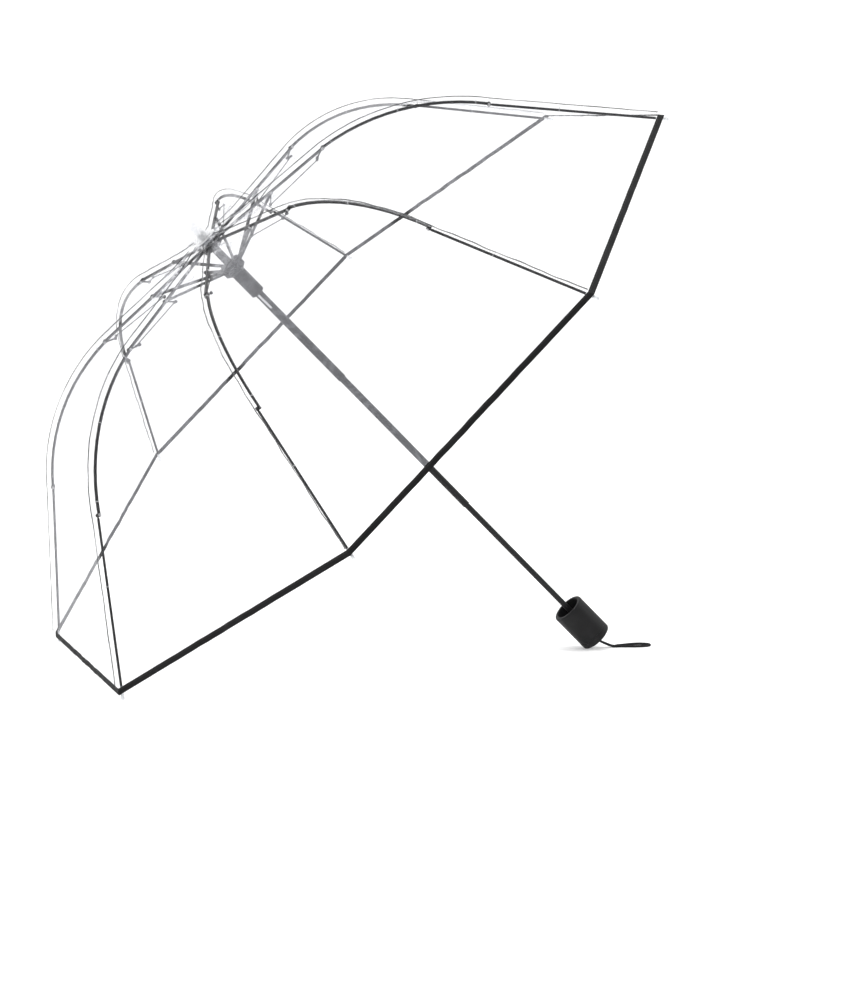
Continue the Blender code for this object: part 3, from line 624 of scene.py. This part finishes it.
def film_points(rib, side, distance, share, lift=0.0):
    """Points of the film. share runs from 0 at the rib to 0.5 at the middle of the panel."""
    radius, height, normal = on_line(distance)
    outward, aside = OUTWARD[rib], ASIDE[rib] * side
    spread = share * math.sin(PANEL_ANGLE)
    inward = 1 - share * (1 - math.cos(PANEL_ANGLE))
    turn = np.arctan2(spread, inward)[..., None]
    facing = outward * np.cos(turn) + aside * np.sin(turn)
    across = share if panel_of(rib, side) == rib else 1 - share
    rise = film_relief(distance, across, panel_of(rib, side)) + lift
    facing_out = outward * inward[..., None] + aside * spread[..., None]
    flat = HUB + UP * height[..., None] + facing_out * radius[..., None]
    return flat + (facing * normal[..., :1] + UP * normal[..., 1:]) * rise[..., None]


# %% [markdown]
# ## Pieces that fold
# When the runner slides down, each rib folds in three, and the film gathers into a narrow bundle along it. A
# piece can ride on only one body, so the film is cut where the ribs hinge and along the middle of each panel,
# with edges that meet exactly while it is open. Each piece rides on the steel under it.

# %% Folding pieces
STEEL_UNDER = {"top": "top_rib", "bow_in": "middle_rib", "bow_out": "middle_rib", "end": "end_rib"}
STRETCHES = {
    "top": (AT_CROWN_EDGE, AT_KNEE),
    "bow_in": (AT_KNEE, AT_BOW),
    "bow_out": (AT_BOW, AT_ELBOW),
    "end": (AT_ELBOW, AT_RIM),
}


def draw_in(made, rib, side, stretch):
    """Lets a piece of film or hem ride on its rib, with a mesh of its own. The fold's axis is worked out but
    not used.
    """
    low, high = STRETCHES[stretch]
    ends = film_points(rib, side, np.array([low, high]), np.zeros(2))
    along = (ends[1] - ends[0]) / np.linalg.norm(ends[1] - ends[0])
    outward, aside = OUTWARD[rib], ASIDE[rib] * side
    chord = aside * math.sin(PANEL_ANGLE) - outward * (1 - math.cos(PANEL_ANGLE))
    axis = chord - along * (chord @ along)
    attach(made, f"{STEEL_UNDER[stretch]}_{rib}")
    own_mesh(made)
    return made


def make_film():
    """The film's pieces, by rib, side and stretch."""
    made = {}
    for rib in RIBS:
        for side in (-1, 1):
            for stretch, (low, high) in STRETCHES.items():
                high = min(high, AT_HEM)
                rows = max(8, round((high - low) / (8 * MM)))
                grid = np.linspace(low, high, rows), np.linspace(0, 0.5, 15)
                distance, share = np.meshgrid(*grid, indexing="ij")
                top = film_points(rib, side, distance, share, FILM_THICKNESS / 2)
                name = f"film_{stretch}_{rib}_{'left' if side < 0 else 'right'}"
                piece = shell(name, top, FILM_THICKNESS, FILM)
                spread = np.interp(distance, ALONG, LINE[:, 0]) * share * 2 * math.sin(PANEL_ANGLE / 2)
                note(piece, "from_rib", np.tile(spread.ravel(), 2))
                note(piece, "from_crown", np.tile(distance.ravel(), 2))
                made[rib, side, stretch] = draw_in(piece, rib, side, stretch)
    return made


film_pieces = make_film()
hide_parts("canopy")
print("film pieces:", len(film_pieces))

# %% [markdown]
# ## Film on the crown
# The eight panels meet in a small disc that is clamped on the crown. It doesn't fold, so it is one ring
# that rides on the crown, pleated like the panels that run into it.

# %% Crown film
def make_crown_film():
    around = []
    for rib in RIBS:
        share = np.linspace(0, 0.5, 13)
        around.append((rib, -1, share[:-1]))
        around.append(((rib % 8) + 1, 1, share[::-1][:-1]))
    distance = np.linspace(0, AT_CROWN_EDGE, 9)
    columns = []
    for rib, side, shares in around:
        d, s = np.meshgrid(distance, shares, indexing="ij")
        columns.append(film_points(rib, side, d, s, FILM_THICKNESS / 2))
    top = np.concatenate(columns, axis=1)
    rows, count, _ = top.shape
    under = top - UP * FILM_THICKNESS
    points = np.concatenate([top.reshape(-1, 3), under.reshape(-1, 3)])
    size = rows * count
    index = np.arange(count)
    following = (index + 1) % count
    inner = np.stack([index, following, following + size, index + size], axis=1)
    last = (rows - 1) * count
    outer = np.stack([following + last, index + last, index + last + size, following + last + size], axis=1)
    upper, lower = grid_faces(rows, count, wrap=True), grid_faces(rows, count, size, flip=True, wrap=True)
    faces = np.concatenate([upper, lower, inner, outer])
    made = tidied(add_mesh("film_crown", points, faces, FILM), 60)
    note(made, "from_rib", np.full(len(made.data.vertices), 0.02))
    note(made, "from_crown", np.full(len(made.data.vertices), 0.03))
    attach(made, "umbrella")
    return made


crown_film = make_crown_film()

# %% [markdown]
# ## Welded seams
# Two neighbouring panels are welded together along each rib. The weld stands up from the film as a narrow fin
# with a thicker edge, which draws a fine grey line beside each black rib. The edge is painted nearly black, as
# painted shade for the dark look of a clear edge.

# %% Weld fins
FIN_HEIGHT = 3.6 * MM
FIN_THICKNESS = 1.0 * MM


def make_fins():
    """A fin is a thin blade carried along the film's line, and its edge is a bead of its own on top of it."""
    blade = np.array([(-0.2, 0.02), (-0.2, 0.8), (0.2, 0.8), (0.2, 0.02)])
    bead = np.array([(-0.5, 0.78), (-0.6, 0.9), (-0.3, 1.05), (0.3, 1.05), (0.6, 0.9), (0.5, 0.78)])
    sections = (("weld", blade, WELD), ("shaded_weld_edge", bead, SHADED_WELD_EDGE))
    for rib in RIBS:
        for stretch, (low, high) in STRETCHES.items():
            distance = np.linspace(low, min(high, AT_HEM), max(8, round((high - low) / (6 * MM))))
            radius, height, normal = on_line(distance)
            wander = 0.5 * MM * np.sin(distance * 90 + rib) + 0.3 * MM * np.sin(distance * 230 + 2 * rib)
            path = HUB + UP * height[:, None] + OUTWARD[rib] * radius[:, None]
            above = OUTWARD[rib] * normal[:, :1] + UP * normal[:, 1:]
            for name, section, finish in sections:
                width, rise = section[None, :, 0, None] * FIN_THICKNESS, section[None, :, 1, None]
                side = ASIDE[rib] * (width + wander[:, None, None] * rise)
                lift = above[:, None, :] * (rise * FIN_HEIGHT + 0.15 * MM)
                piece = tube_along(f"{name}_{stretch}_{rib}", path, side, lift, finish)
                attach(piece, f"{STEEL_UNDER[stretch]}_{rib}")


make_fins()

# %% [markdown]
# ## Black edge tape
# A folded tape of woven polyester binds the rim, sewn through with one line of stitches. It runs straight from
# rib tip to rib tip, because the film is pulled tight between them. Its pieces ride on the end ribs.

# %% Woven tape finish
YARN_TURN = 9000  # turn of the weave's wave along one metre, in radians


def woven_tape():
    """Plain weave of fine black yarn: crests along and across the tape, about half a millimetre apart."""
    graph = Graph("woven_tape", specular_ior_level=0.2)
    along = graph.attribute("tape_along")
    across = graph.attribute("tape_across")
    weave = (along * YARN_TURN).sine() * (across * YARN_TURN).sine()
    fuzz = graph.noise(900, detail=2)
    worn = graph.noise(35, detail=3).band(0.45, 0.75)
    tone = graph.mix(worn, (0.003, 0.003, 0.0033), (0.008, 0.008, 0.0085))
    return graph.finish(
        base_color=tone,
        roughness=0.62 + fuzz * 0.2,
        sheen_weight=0.015,
        normal=graph.bump(weave * 0.6 + fuzz * 0.4, 0.00015, 0.7),
    )


def stitch_thread():
    graph = Graph("stitch_thread", roughness=0.6)
    twist = graph.noise(2500, detail=1)
    return graph.finish(base_color=graph.mix(twist, (0.01, 0.01, 0.011), (0.05, 0.05, 0.052)))


TAPE = woven_tape()
THREAD = stitch_thread()

# %% Edge tape
HEM_SHARES = np.linspace(0, 0.5, 46)


def tape_section():
    """A flat loop with rounded ends, as (inward from the rim, thickness) points."""
    turn = np.linspace(-np.pi / 2, np.pi / 2, 7)
    half = HEM_THICKNESS / 2
    rim = np.stack([-np.cos(turn) * half + half, np.sin(turn) * half], axis=1)
    inner = np.stack([HEM_WIDTH - half + np.cos(turn) * half, -np.sin(turn) * half], axis=1)
    return np.concatenate([rim, inner[1:]])


def tape_pucker(rib, side, share):
    """How far the tape ripples out of its plane, because the stitches gather it a little."""
    panel = panel_of(rib, side)
    run = share if panel == rib else 1 - share
    ripple = 0.25 * MM * np.sin(run * 96 + WAVES[panel][4]) + 0.35 * MM * np.sin(run * 37 + WAVES[panel][5])
    return ripple * np.sin(np.pi * run) ** 2


def make_hem():
    """The edge tape's pieces, by rib and side."""
    section = tape_section()
    made = {}
    for rib in RIBS:
        for side in (-1, 1):
            share, rise = np.meshgrid(HEM_SHARES, section[:, 1], indexing="ij")
            back = np.tile(section[:, 0], (len(HEM_SHARES), 1))
            distance = AT_RIM - back
            points = film_points(rib, side, distance, share, rise + tape_pucker(rib, side, share))
            rows, columns, _ = points.shape
            name = f"edge_tape_{rib}_{'left' if side < 0 else 'right'}"
            flat = points.reshape(-1, 3)
            faces = [tuple(quad) for quad in grid_faces(rows, columns, wrap=True).tolist()]
            faces += [tuple(range(columns))[::-1], tuple(range((rows - 1) * columns, rows * columns))]
            piece = tidied(add_mesh(name, flat, faces, TAPE, 50), 50)
            length = share * 2 * TIP[0] * math.sin(PANEL_ANGLE / 2)
            note(piece, "tape_along", length)
            note(piece, "tape_across", back)
            made[rib, side] = draw_in(piece, rib, side, "end")
    return made


hem_pieces = make_hem()
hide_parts("hem_binding")
print("edge tape pieces:", len(hem_pieces))

# %% [markdown]
# ## Stitches
# One line of lockstitch holds the tape. Each stitch is a short bulge of thread that dives into the tape
# at both ends, and the line shows on both faces.

# %% Stitches
STITCH_PITCH = 3.4 * MM
STITCH_FROM_RIM = 5.6 * MM
THREAD_RADIUS = 0.22 * MM


def make_stitches():
    half_side = TIP[0] * math.sin(PANEL_ANGLE / 2)
    count = int(half_side / STITCH_PITCH)
    pitch = 0.5 / count
    stations = np.array([(0.08, 0.3, -0.6), (0.3, 1.0, 0.2), (0.7, 1.0, 0.2), (0.92, 0.3, -0.6)])
    ring = np.array([(1.0, 0.0), (0.5, 0.8), (-0.5, 0.8), (-1.0, 0.0)]) * THREAD_RADIUS
    for rib in RIBS:
        for side in (-1, 1):
            points = []
            for face in (-1, 1):
                for stitch in range(count):
                    for share, width, sink in stations:
                        at = np.full(4, (stitch + share) * pitch)
                        back = AT_RIM - STITCH_FROM_RIM + ring[:, 0] * width
                        rise = face * (HEM_THICKNESS / 2 + ring[:, 1] * width + sink * THREAD_RADIUS)
                        points.append(film_points(rib, side, back, at, rise + tape_pucker(rib, side, at)))
            flat = np.concatenate(points)
            one = grid_faces(4, 4, wrap=True).tolist() + [(3, 2, 1, 0), (12, 13, 14, 15)]
            faces = [tuple(16 * k + i for i in face) for k in range(2 * count) for face in one]
            name = f"stitches_{rib}_{'left' if side < 0 else 'right'}"
            piece = tidied(add_mesh(name, flat, faces, THREAD, 50), 50)
            draw_in(piece, rib, side, "end")


make_stitches()

# %% [markdown]
# ## Flat sizes
# Each piece of film is cut flat. It is as long as its stretch of the line, and as wide as half a panel, which
# narrows towards the crown. The edge tape is too narrow to count as a sheet, so the code pairs it with the film
# at the rim. It works these sizes out and keeps none of them.


def declare_film():
    for (rib, side, stretch), piece in film_pieces.items():
        low, high = STRETCHES[stretch]
        high = min(high, AT_HEM)
        float(high - low)
        [hem_pieces[rib, side]] if stretch == "end" else []
    disc = 2 * math.sqrt(2) * (CROWN_FILM_EDGE**2 - LINE[0, 0] ** 2)


declare_film()

# %% [markdown]
# ## Rib steel
# The ribs are rolled from thin strip and dipped in black lacquer. The lacquer is smooth but not flat: it
# pools a little along the channel, and it has worn through to grey on the edges and round the pivots. The
# frame's own rib parts keep their shape and get this finish.

# %% Painted steel finish
def lacquered_steel(name, worn_share, tone=(0.004, 0.004, 0.0045)):
    graph = Graph(name, coat_roughness=0.12, specular_ior_level=0.2)
    pooled = graph.noise(90, detail=3)
    scuffs = graph.noise(420, detail=4, roughness=0.7, distortion=0.6)
    worn = scuffs.band(0.72 - worn_share, 0.78 - worn_share * 0.6)
    brighter = tuple(value * 2.2 for value in tone)
    lacquer = graph.mix(pooled, tone, brighter)
    return graph.finish(
        base_color=graph.mix(worn, lacquer, (0.09, 0.09, 0.094)),
        metallic=worn * 0.6,
        roughness=0.36 + pooled * 0.14 + worn * 0.1,
        coat_weight=(0.05 - worn * 0.05).clamped(),
        normal=graph.bump(pooled * 0.6 + scuffs * 0.4, 0.00025, 0.5),
    )


def bright_wire():
    graph = Graph("bright_wire", metallic=1.0)
    drawn = graph.noise(700, detail=2)
    return graph.finish(
        base_color=graph.mix(drawn, (0.42, 0.42, 0.43), (0.66, 0.66, 0.68)), roughness=0.2 + drawn * 0.25
    )


def give_finish(node, finish):
    """Gives a CAD node a better material in each of its slots."""
    made = NODES[node]
    if not made.material_slots:
        made.data.materials.append(finish)
    for slot in made.material_slots:
        slot.material = finish


RIB_STEEL = lacquered_steel("rib_lacquer", 0.05)
TUBE_STEEL = lacquered_steel("tube_lacquer", 0.02, (0.006, 0.006, 0.0065))
WIRE = bright_wire()

for rib in RIBS:
    for kind in ("top_rib", "stretcher", "middle_rib", "control_link"):
        give_finish(f"{kind}_{rib}", RIB_STEEL)
for node in ("top_tube", "middle_tube", "lower_tube"):
    give_finish(node, TUBE_STEEL)
for node in ("crown_wire", "runner_wire", "runner_catch"):
    give_finish(node, WIRE)

# %% [markdown]
# ## Rivets
# Every pivot is a hollow rivet, rolled over on both sides. A rivet is a small ring with a dished middle.
# Those at the knee and the elbow ride on the middle rib, and the one that joins the stretcher to the top
# rib rides on the stretcher, because that is the piece whose end it holds.

# %% Rivets
RIVET_RADIUS = 1.5 * MM
LAYER = 3 * MM


def rivet_profile(low, high):
    """A rolled head at each end of a shank, as (radius, distance along the pin) points."""
    dish = [(0.0, -0.1), (0.35, -0.08), (0.55, 0.25), (0.8, 0.38), (1.0, 0.2), (1.0, 0.0), (0.42, 0.0)]
    top = [(radius * RIVET_RADIUS, high + rise * RIVET_RADIUS) for radius, rise in dish]
    bottom = [(radius * RIVET_RADIUS, low - rise * RIVET_RADIUS) for radius, rise in reversed(dish)]
    return bottom + top[::-1]


def make_rivets():
    stretcher_end = in_rib_plane(farthest_from("stretcher_1", np.array(JOINTS["stretcher_hinge_1"]["pos_m"])))
    start = in_rib_plane(JOINTS["stretcher_hinge_1"]["pos_m"])
    reach = stretcher_end - start
    stretcher_pivot = stretcher_end - reach / np.linalg.norm(reach) * 2.3 * MM
    wide = 1.3 * MM
    places = (
        ("knee_rivet", KNEE, "middle_rib", -wide, LAYER + wide),
        ("elbow_rivet", ELBOW, "middle_rib", -wide, LAYER + wide),
        ("stretcher_rivet", stretcher_pivot, "stretcher", -LAYER - wide, wide),
    )
    for rib in RIBS:
        for kind, (radius, height), steel, low, high in places:
            start = HUB + OUTWARD[rib] * radius + UP * height
            made = turned(f"{kind}_{rib}", rivet_profile(low, high)[::-1], start, ASIDE[rib], WIRE, steps=20)
            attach(made, f"{steel}_{rib}")


make_rivets()

# %% [markdown]
# ## End ribs and tips
# The outer part of each rib is a straight spring wire with a flattened eye at the elbow. A small plastic
# tip is pushed over its end, and the corner of the canopy is sewn to the tip. The wire and the tip are
# different materials, so they are two new pieces that stand for the frame's single solid.

# %% End ribs
ROD_RADIUS = 1.5 * MM
TIP_RADIUS = 1.9 * MM
TIP_GRIP = 10 * MM


def tip_plastic():
    """Clear plastic gone slightly milky, with fine flow marks."""
    graph = Graph("tip_plastic", IOR=1.49, coat_weight=0.3)
    cloud = graph.noise(320, detail=3).band(0.35, 0.7)
    return graph.finish(
        base_color=graph.mix(cloud, (0.72, 0.74, 0.77), (0.92, 0.93, 0.94)),
        roughness=0.14 + cloud * 0.14,
        alpha=0.7 + cloud * 0.25,
        normal=graph.bump(cloud, 0.0002, 0.4),
    )


TIP_PLASTIC = tip_plastic()


def make_end_ribs():
    length = float(np.linalg.norm(TIP - ELBOW))
    thick, far = ROD_RADIUS / MM, length / MM - 9
    rod = [(0, 2.1), (0.8, 2.1), (thick, 4.0), (thick, far), (0, far)]
    grip, nose, radius = (length - TIP_GRIP) / MM, (length + TIP_NOSE) / MM, TIP_RADIUS / MM
    bend = np.linspace(0, np.pi / 2, 9)
    dome = [(radius * math.cos(turn), nose - radius + radius * math.sin(turn)) for turn in bend]
    collar = [(0, grip), (1.3, grip), (1.5, grip + 0.5), (1.5, grip + 2.6)]
    collar += [(1.75, grip + 3.2), (1.75, grip + 4.2)]
    neck = [(1.45, grip + 5.0), (1.45, grip + 7.4), (radius * 0.97, grip + 8.6)]
    for rib in RIBS:
        along = OUTWARD[rib] * END_ALONG[0] + UP * END_ALONG[1]
        start = HUB + OUTWARD[rib] * ELBOW[0] + UP * ELBOW[1]
        wire = turned(f"end_wire_{rib}", np.array(rod) * MM, start, along, RIB_STEEL, steps=20)
        eye = [(1.0, -1.25), (2.3, -1.25), (2.3, 1.25), (1.0, 1.25), (1.0, -1.25)]
        loop = turned(f"end_eye_{rib}", np.array(eye) * MM, start, ASIDE[rib], RIB_STEEL, steps=28)
        outline = np.array(collar + neck + dome) * MM
        tip = turned(f"rib_tip_{rib}", outline, start, along, TIP_PLASTIC, steps=28)
        for made, slot in ((wire, "rib_steel"), (loop, "rib_steel"), (tip, "clear_plastic")):
            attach(made, f"end_rib_{rib}")
        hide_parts(f"end_rib_{rib}")


make_end_ribs()

# %% [markdown]
# ## Ties
# The film is held to the steel at the knee, at the elbow and half way along the bow by a loop of clear line,
# knotted on the outside. Each is a small ring round the rib.

# %% Ties
def nylon_line():
    graph = Graph("nylon_line", IOR=1.5, roughness=0.2)
    cloud = graph.noise(600, detail=2)
    tone = graph.mix(cloud, (0.7, 0.72, 0.74), (0.9, 0.9, 0.92))
    return graph.finish(base_color=tone, alpha=0.55 + cloud * 0.3)


NYLON = nylon_line()


def make_ties():
    """A ring: a small circle carried round an oval that clears the channel."""
    around = np.linspace(0, 2 * np.pi, 24, endpoint=False)
    small = np.linspace(0, 2 * np.pi, 8, endpoint=False)
    big, little = np.meshgrid(around, small, indexing="ij")
    wide, tall, line = 2.0 * MM, 2.9 * MM, 0.28 * MM
    stations = (("bow_in", 0.12, LAYER), ("bow_in", 0.95, LAYER), ("bow_out", 0.85, LAYER), ("end", 0.4, 0.0))
    for rib in RIBS:
        for number, (stretch, share, side) in enumerate(stations):
            low, high = STRETCHES[stretch]
            radius, height, normal = on_line(np.array([low + (high - low) * share]))
            above = OUTWARD[rib] * normal[0, 0] + UP * normal[0, 1]
            ahead = np.cross(ASIDE[rib], above)
            middle = HUB + OUTWARD[rib] * radius[0] + UP * height[0] + ASIDE[rib] * side
            middle = middle - above * (FILM_LIFT - 0.9 * MM)
            reach_side = (wide + line * np.cos(little)) * np.cos(big)
            reach_up = (tall + line * np.cos(little)) * np.sin(big)
            points = (
                middle
                + ASIDE[rib] * reach_side[..., None]
                + above * reach_up[..., None]
                + ahead * (line * np.sin(little))[..., None]
            )
            rows = len(around)
            faces = grid_faces(rows + 1, len(small), wrap=True) % (rows * len(small))
            made = tidied(add_mesh(f"tie_{rib}_{number + 1}", points.reshape(-1, 3), faces, NYLON), 60)
            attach(made, f"{STEEL_UNDER[stretch]}_{rib}")


make_ties()

# %% [markdown]
# ## Crown, runner and cap
# The crown and the runner are black moulded plastic, with the dull grain that spark erosion leaves in a
# mould. The cap on top is turned from clear plastic, and screws down on a washer to clamp the film.

# %% Moulded plastic finish
def moulded_black(name, grain, roughness):
    graph = Graph(name, specular_ior_level=0.3)
    fine = graph.noise(grain, detail=3)
    wipe = graph.noise(28, detail=2).band(0.45, 0.75)
    return graph.finish(
        base_color=graph.mix(wipe, (0.007, 0.007, 0.0075), (0.015, 0.015, 0.016)),
        roughness=roughness + fine * 0.12 + wipe * 0.06,
        normal=graph.bump(fine, 0.0002, 0.5),
    )


BLACK_PLASTIC = moulded_black("moulded_black", 1400, 0.36)
for node in ("crown", "runner", "handle_socket", "handle_end_cap"):
    give_finish(node, BLACK_PLASTIC)
give_finish("strap_knot", braided_cord())

# %% Cap and washer
def clear_moulding():
    """Thick clear plastic: mostly seen by its pale rim light and by the flow lines inside it."""
    graph = Graph("clear_moulding", IOR=1.49, coat_weight=0.6)
    flow = graph.noise(110, detail=3, distortion=2)
    rim = graph.node("ShaderNodeLayerWeight", {}, {"Blend": 0.4}, "Facing")
    return graph.finish(
        base_color=graph.mix(flow, (0.78, 0.8, 0.83), (0.96, 0.96, 0.97)),
        roughness=0.08 + flow * 0.12,
        alpha=(0.3 + rim * 0.45 + flow.band(0.5, 0.7) * 0.12).clamped(),
        normal=graph.bump(flow, 0.0008, 0.4),
    )


CLEAR_MOULDING = clear_moulding()


def make_cap():
    heights = (vertices_of("ferrule_cap") - HUB) @ UP
    base, top = heights.min() / MM, heights.max() / MM
    outside = [
        (9.0, base), (9.0, base + 1.2), (8.6, base + 1.8), (8.8, base + 2.4), (8.4, base + 3.2),
        (7.0, base + 4.6), (6.0, base + 6.4), (5.5, base + 9.0), (5.3, base + 12), (5.3, top - 6.0),
        (5.7, top - 5.2), (5.9, top - 4.2), (5.8, top - 3.0), (5.2, top - 1.6), (4.0, top - 0.6),
        (2.2, top - 0.1), (0.0, top),
    ]
    inside = [(0.0, base + 7.2), (4.4, base + 7.0), (5.35, base + 6.0), (5.4, base)]
    profile = np.array(inside[::-1][:1] + outside + inside) * MM
    made = turned("screw_cap", profile, HUB, UP, CLEAR_MOULDING, steps=72)
    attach(made, "umbrella")
    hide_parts("ferrule_cap")
    give_finish("canopy_washer", CLEAR_MOULDING)


make_cap()

# %% [markdown]
# ## Handle
# The grip is a short straight cup of soft-touch plastic. Its open top takes the runner when the umbrella
# is folded. It is turned once more here with fine steps, so that its rounded edges read smoothly from
# close by.

# %% Grip
def soft_touch():
    graph = Graph("soft_touch_grip", sheen_roughness=0.5, specular_ior_level=0.22)
    grain = graph.noise(1900, detail=2)
    hands = graph.noise(36, detail=3).band(0.4, 0.75)
    return graph.finish(
        base_color=graph.mix(hands, (0.0035, 0.0035, 0.004), (0.008, 0.008, 0.0085)),
        roughness=0.46 + grain * 0.1 + hands * 0.08,
        sheen_weight=0.015,
        normal=graph.bump(grain, 0.00018, 0.5),
    )


def rounded(corner, radius, start, end, steps=6):
    """An arc of a circle round a corner's centre, in degrees, as profile points."""
    turn = np.radians(np.linspace(start, end, steps))
    return [(corner[0] + radius * math.cos(a), corner[1] + radius * math.sin(a)) for a in turn]


CUP_DEPTH = 37  # in millimetres


def make_grip():
    heights = (vertices_of("handle_grip") - HUB) @ UP
    low, high = heights.min() / MM, heights.max() / MM
    floor = high - CUP_DEPTH
    profile = (
        [(14.4, low)]
        + rounded((18, low + 2), 2, -90, 0)
        + [(20, low + 8), (19.7, low + 8.3), (19.7, low + 8.7), (20, low + 9)]
        + rounded((18, high - 2), 2, 0, 90)
        + rounded((16.3, high - 0.8), 0.8, 90, 180, 4)
        + [(15.5, floor), (12.4, floor), (12.4, low + 3), (14.4, low + 3), (14.4, low)]
    )
    made = turned("grip", np.array(profile) * MM, HUB, UP, soft_touch(), steps=128, smooth_degrees=30)
    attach(made, "handle")
    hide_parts("handle_grip")


make_grip()

# %% [markdown]
# ## Floor and light
# The umbrella lies on a pale sweep that turns up into the wall behind it. Broad lamps overhead and on the
# left leave only faint shadows, and a strip lamp on the right draws thin highlights along the film.

# %% Studio
def pale_paper():
    graph = Graph("pale_paper", roughness=0.9, emission_color=(1.0, 1.0, 1.0), emission_strength=0.22)
    fibre = graph.noise(3, detail=2)
    return graph.finish(base_color=graph.mix(fibre, (0.9, 0.9, 0.9), (0.94, 0.94, 0.94)))


def make_sweep():
    """A floor that curves up into a wall: a quarter circle between two straight runs, carried sideways."""
    turn = np.linspace(0, np.pi / 2, 16)
    bend = np.stack([3.2 + 1.2 * np.sin(turn), 1.2 - 1.2 * np.cos(turn)], axis=1)
    profile = np.vstack([[[-7.0, 0.0]], bend, [[4.4, 7.0]]])
    points = np.array([[x, y, z] for x in (-8.0, 9.0) for y, z in profile])
    made = add_mesh("sweep", points, grid_faces(2, len(profile)), pale_paper(), 60)


def lamp(name, place, target, size, watts):
    data = bpy.data.lights.new(name, "AREA")
    data.shape = "RECTANGLE"
    data.size, data.size_y = size
    data.energy = watts
    made = bpy.data.objects.new(name, data)
    made.location = place
    away = np.array(place, float) - np.array(target, float)
    away /= np.linalg.norm(away)
    side = np.cross([0, 0, 1.0], away) if abs(away[2]) < 0.99 else np.array([1.0, 0, 0])
    side /= np.linalg.norm(side)
    up = np.cross(away, side)
    made.matrix_world = Matrix([[side[i], up[i], away[i], place[i]] for i in range(3)] + [[0, 0, 0, 1]])
    bpy.context.scene.collection.objects.link(made)


def make_world(strength):
    world = bpy.data.worlds.new("studio")
    world.use_nodes = True
    background = world.node_tree.nodes["Background"]
    background.inputs["Color"].default_value = (1, 1, 1, 1)
    background.inputs["Strength"].default_value = strength
    bpy.context.scene.world = world


make_sweep()
make_world(0.75)
lamp("overhead", (0.0, 0.4, 3.2), (0, 0, 0.3), (3.5, 3.5), 60)
lamp("left_fill", (-3.0, -1.6, 1.8), (0, 0, 0.3), (2.0, 2.5), 25)
lamp("right_strip", (2.8, -0.6, 2.0), (0, 0, 0.4), (0.5, 2.6), 22)
bpy.context.scene.view_settings.view_transform = "Standard"
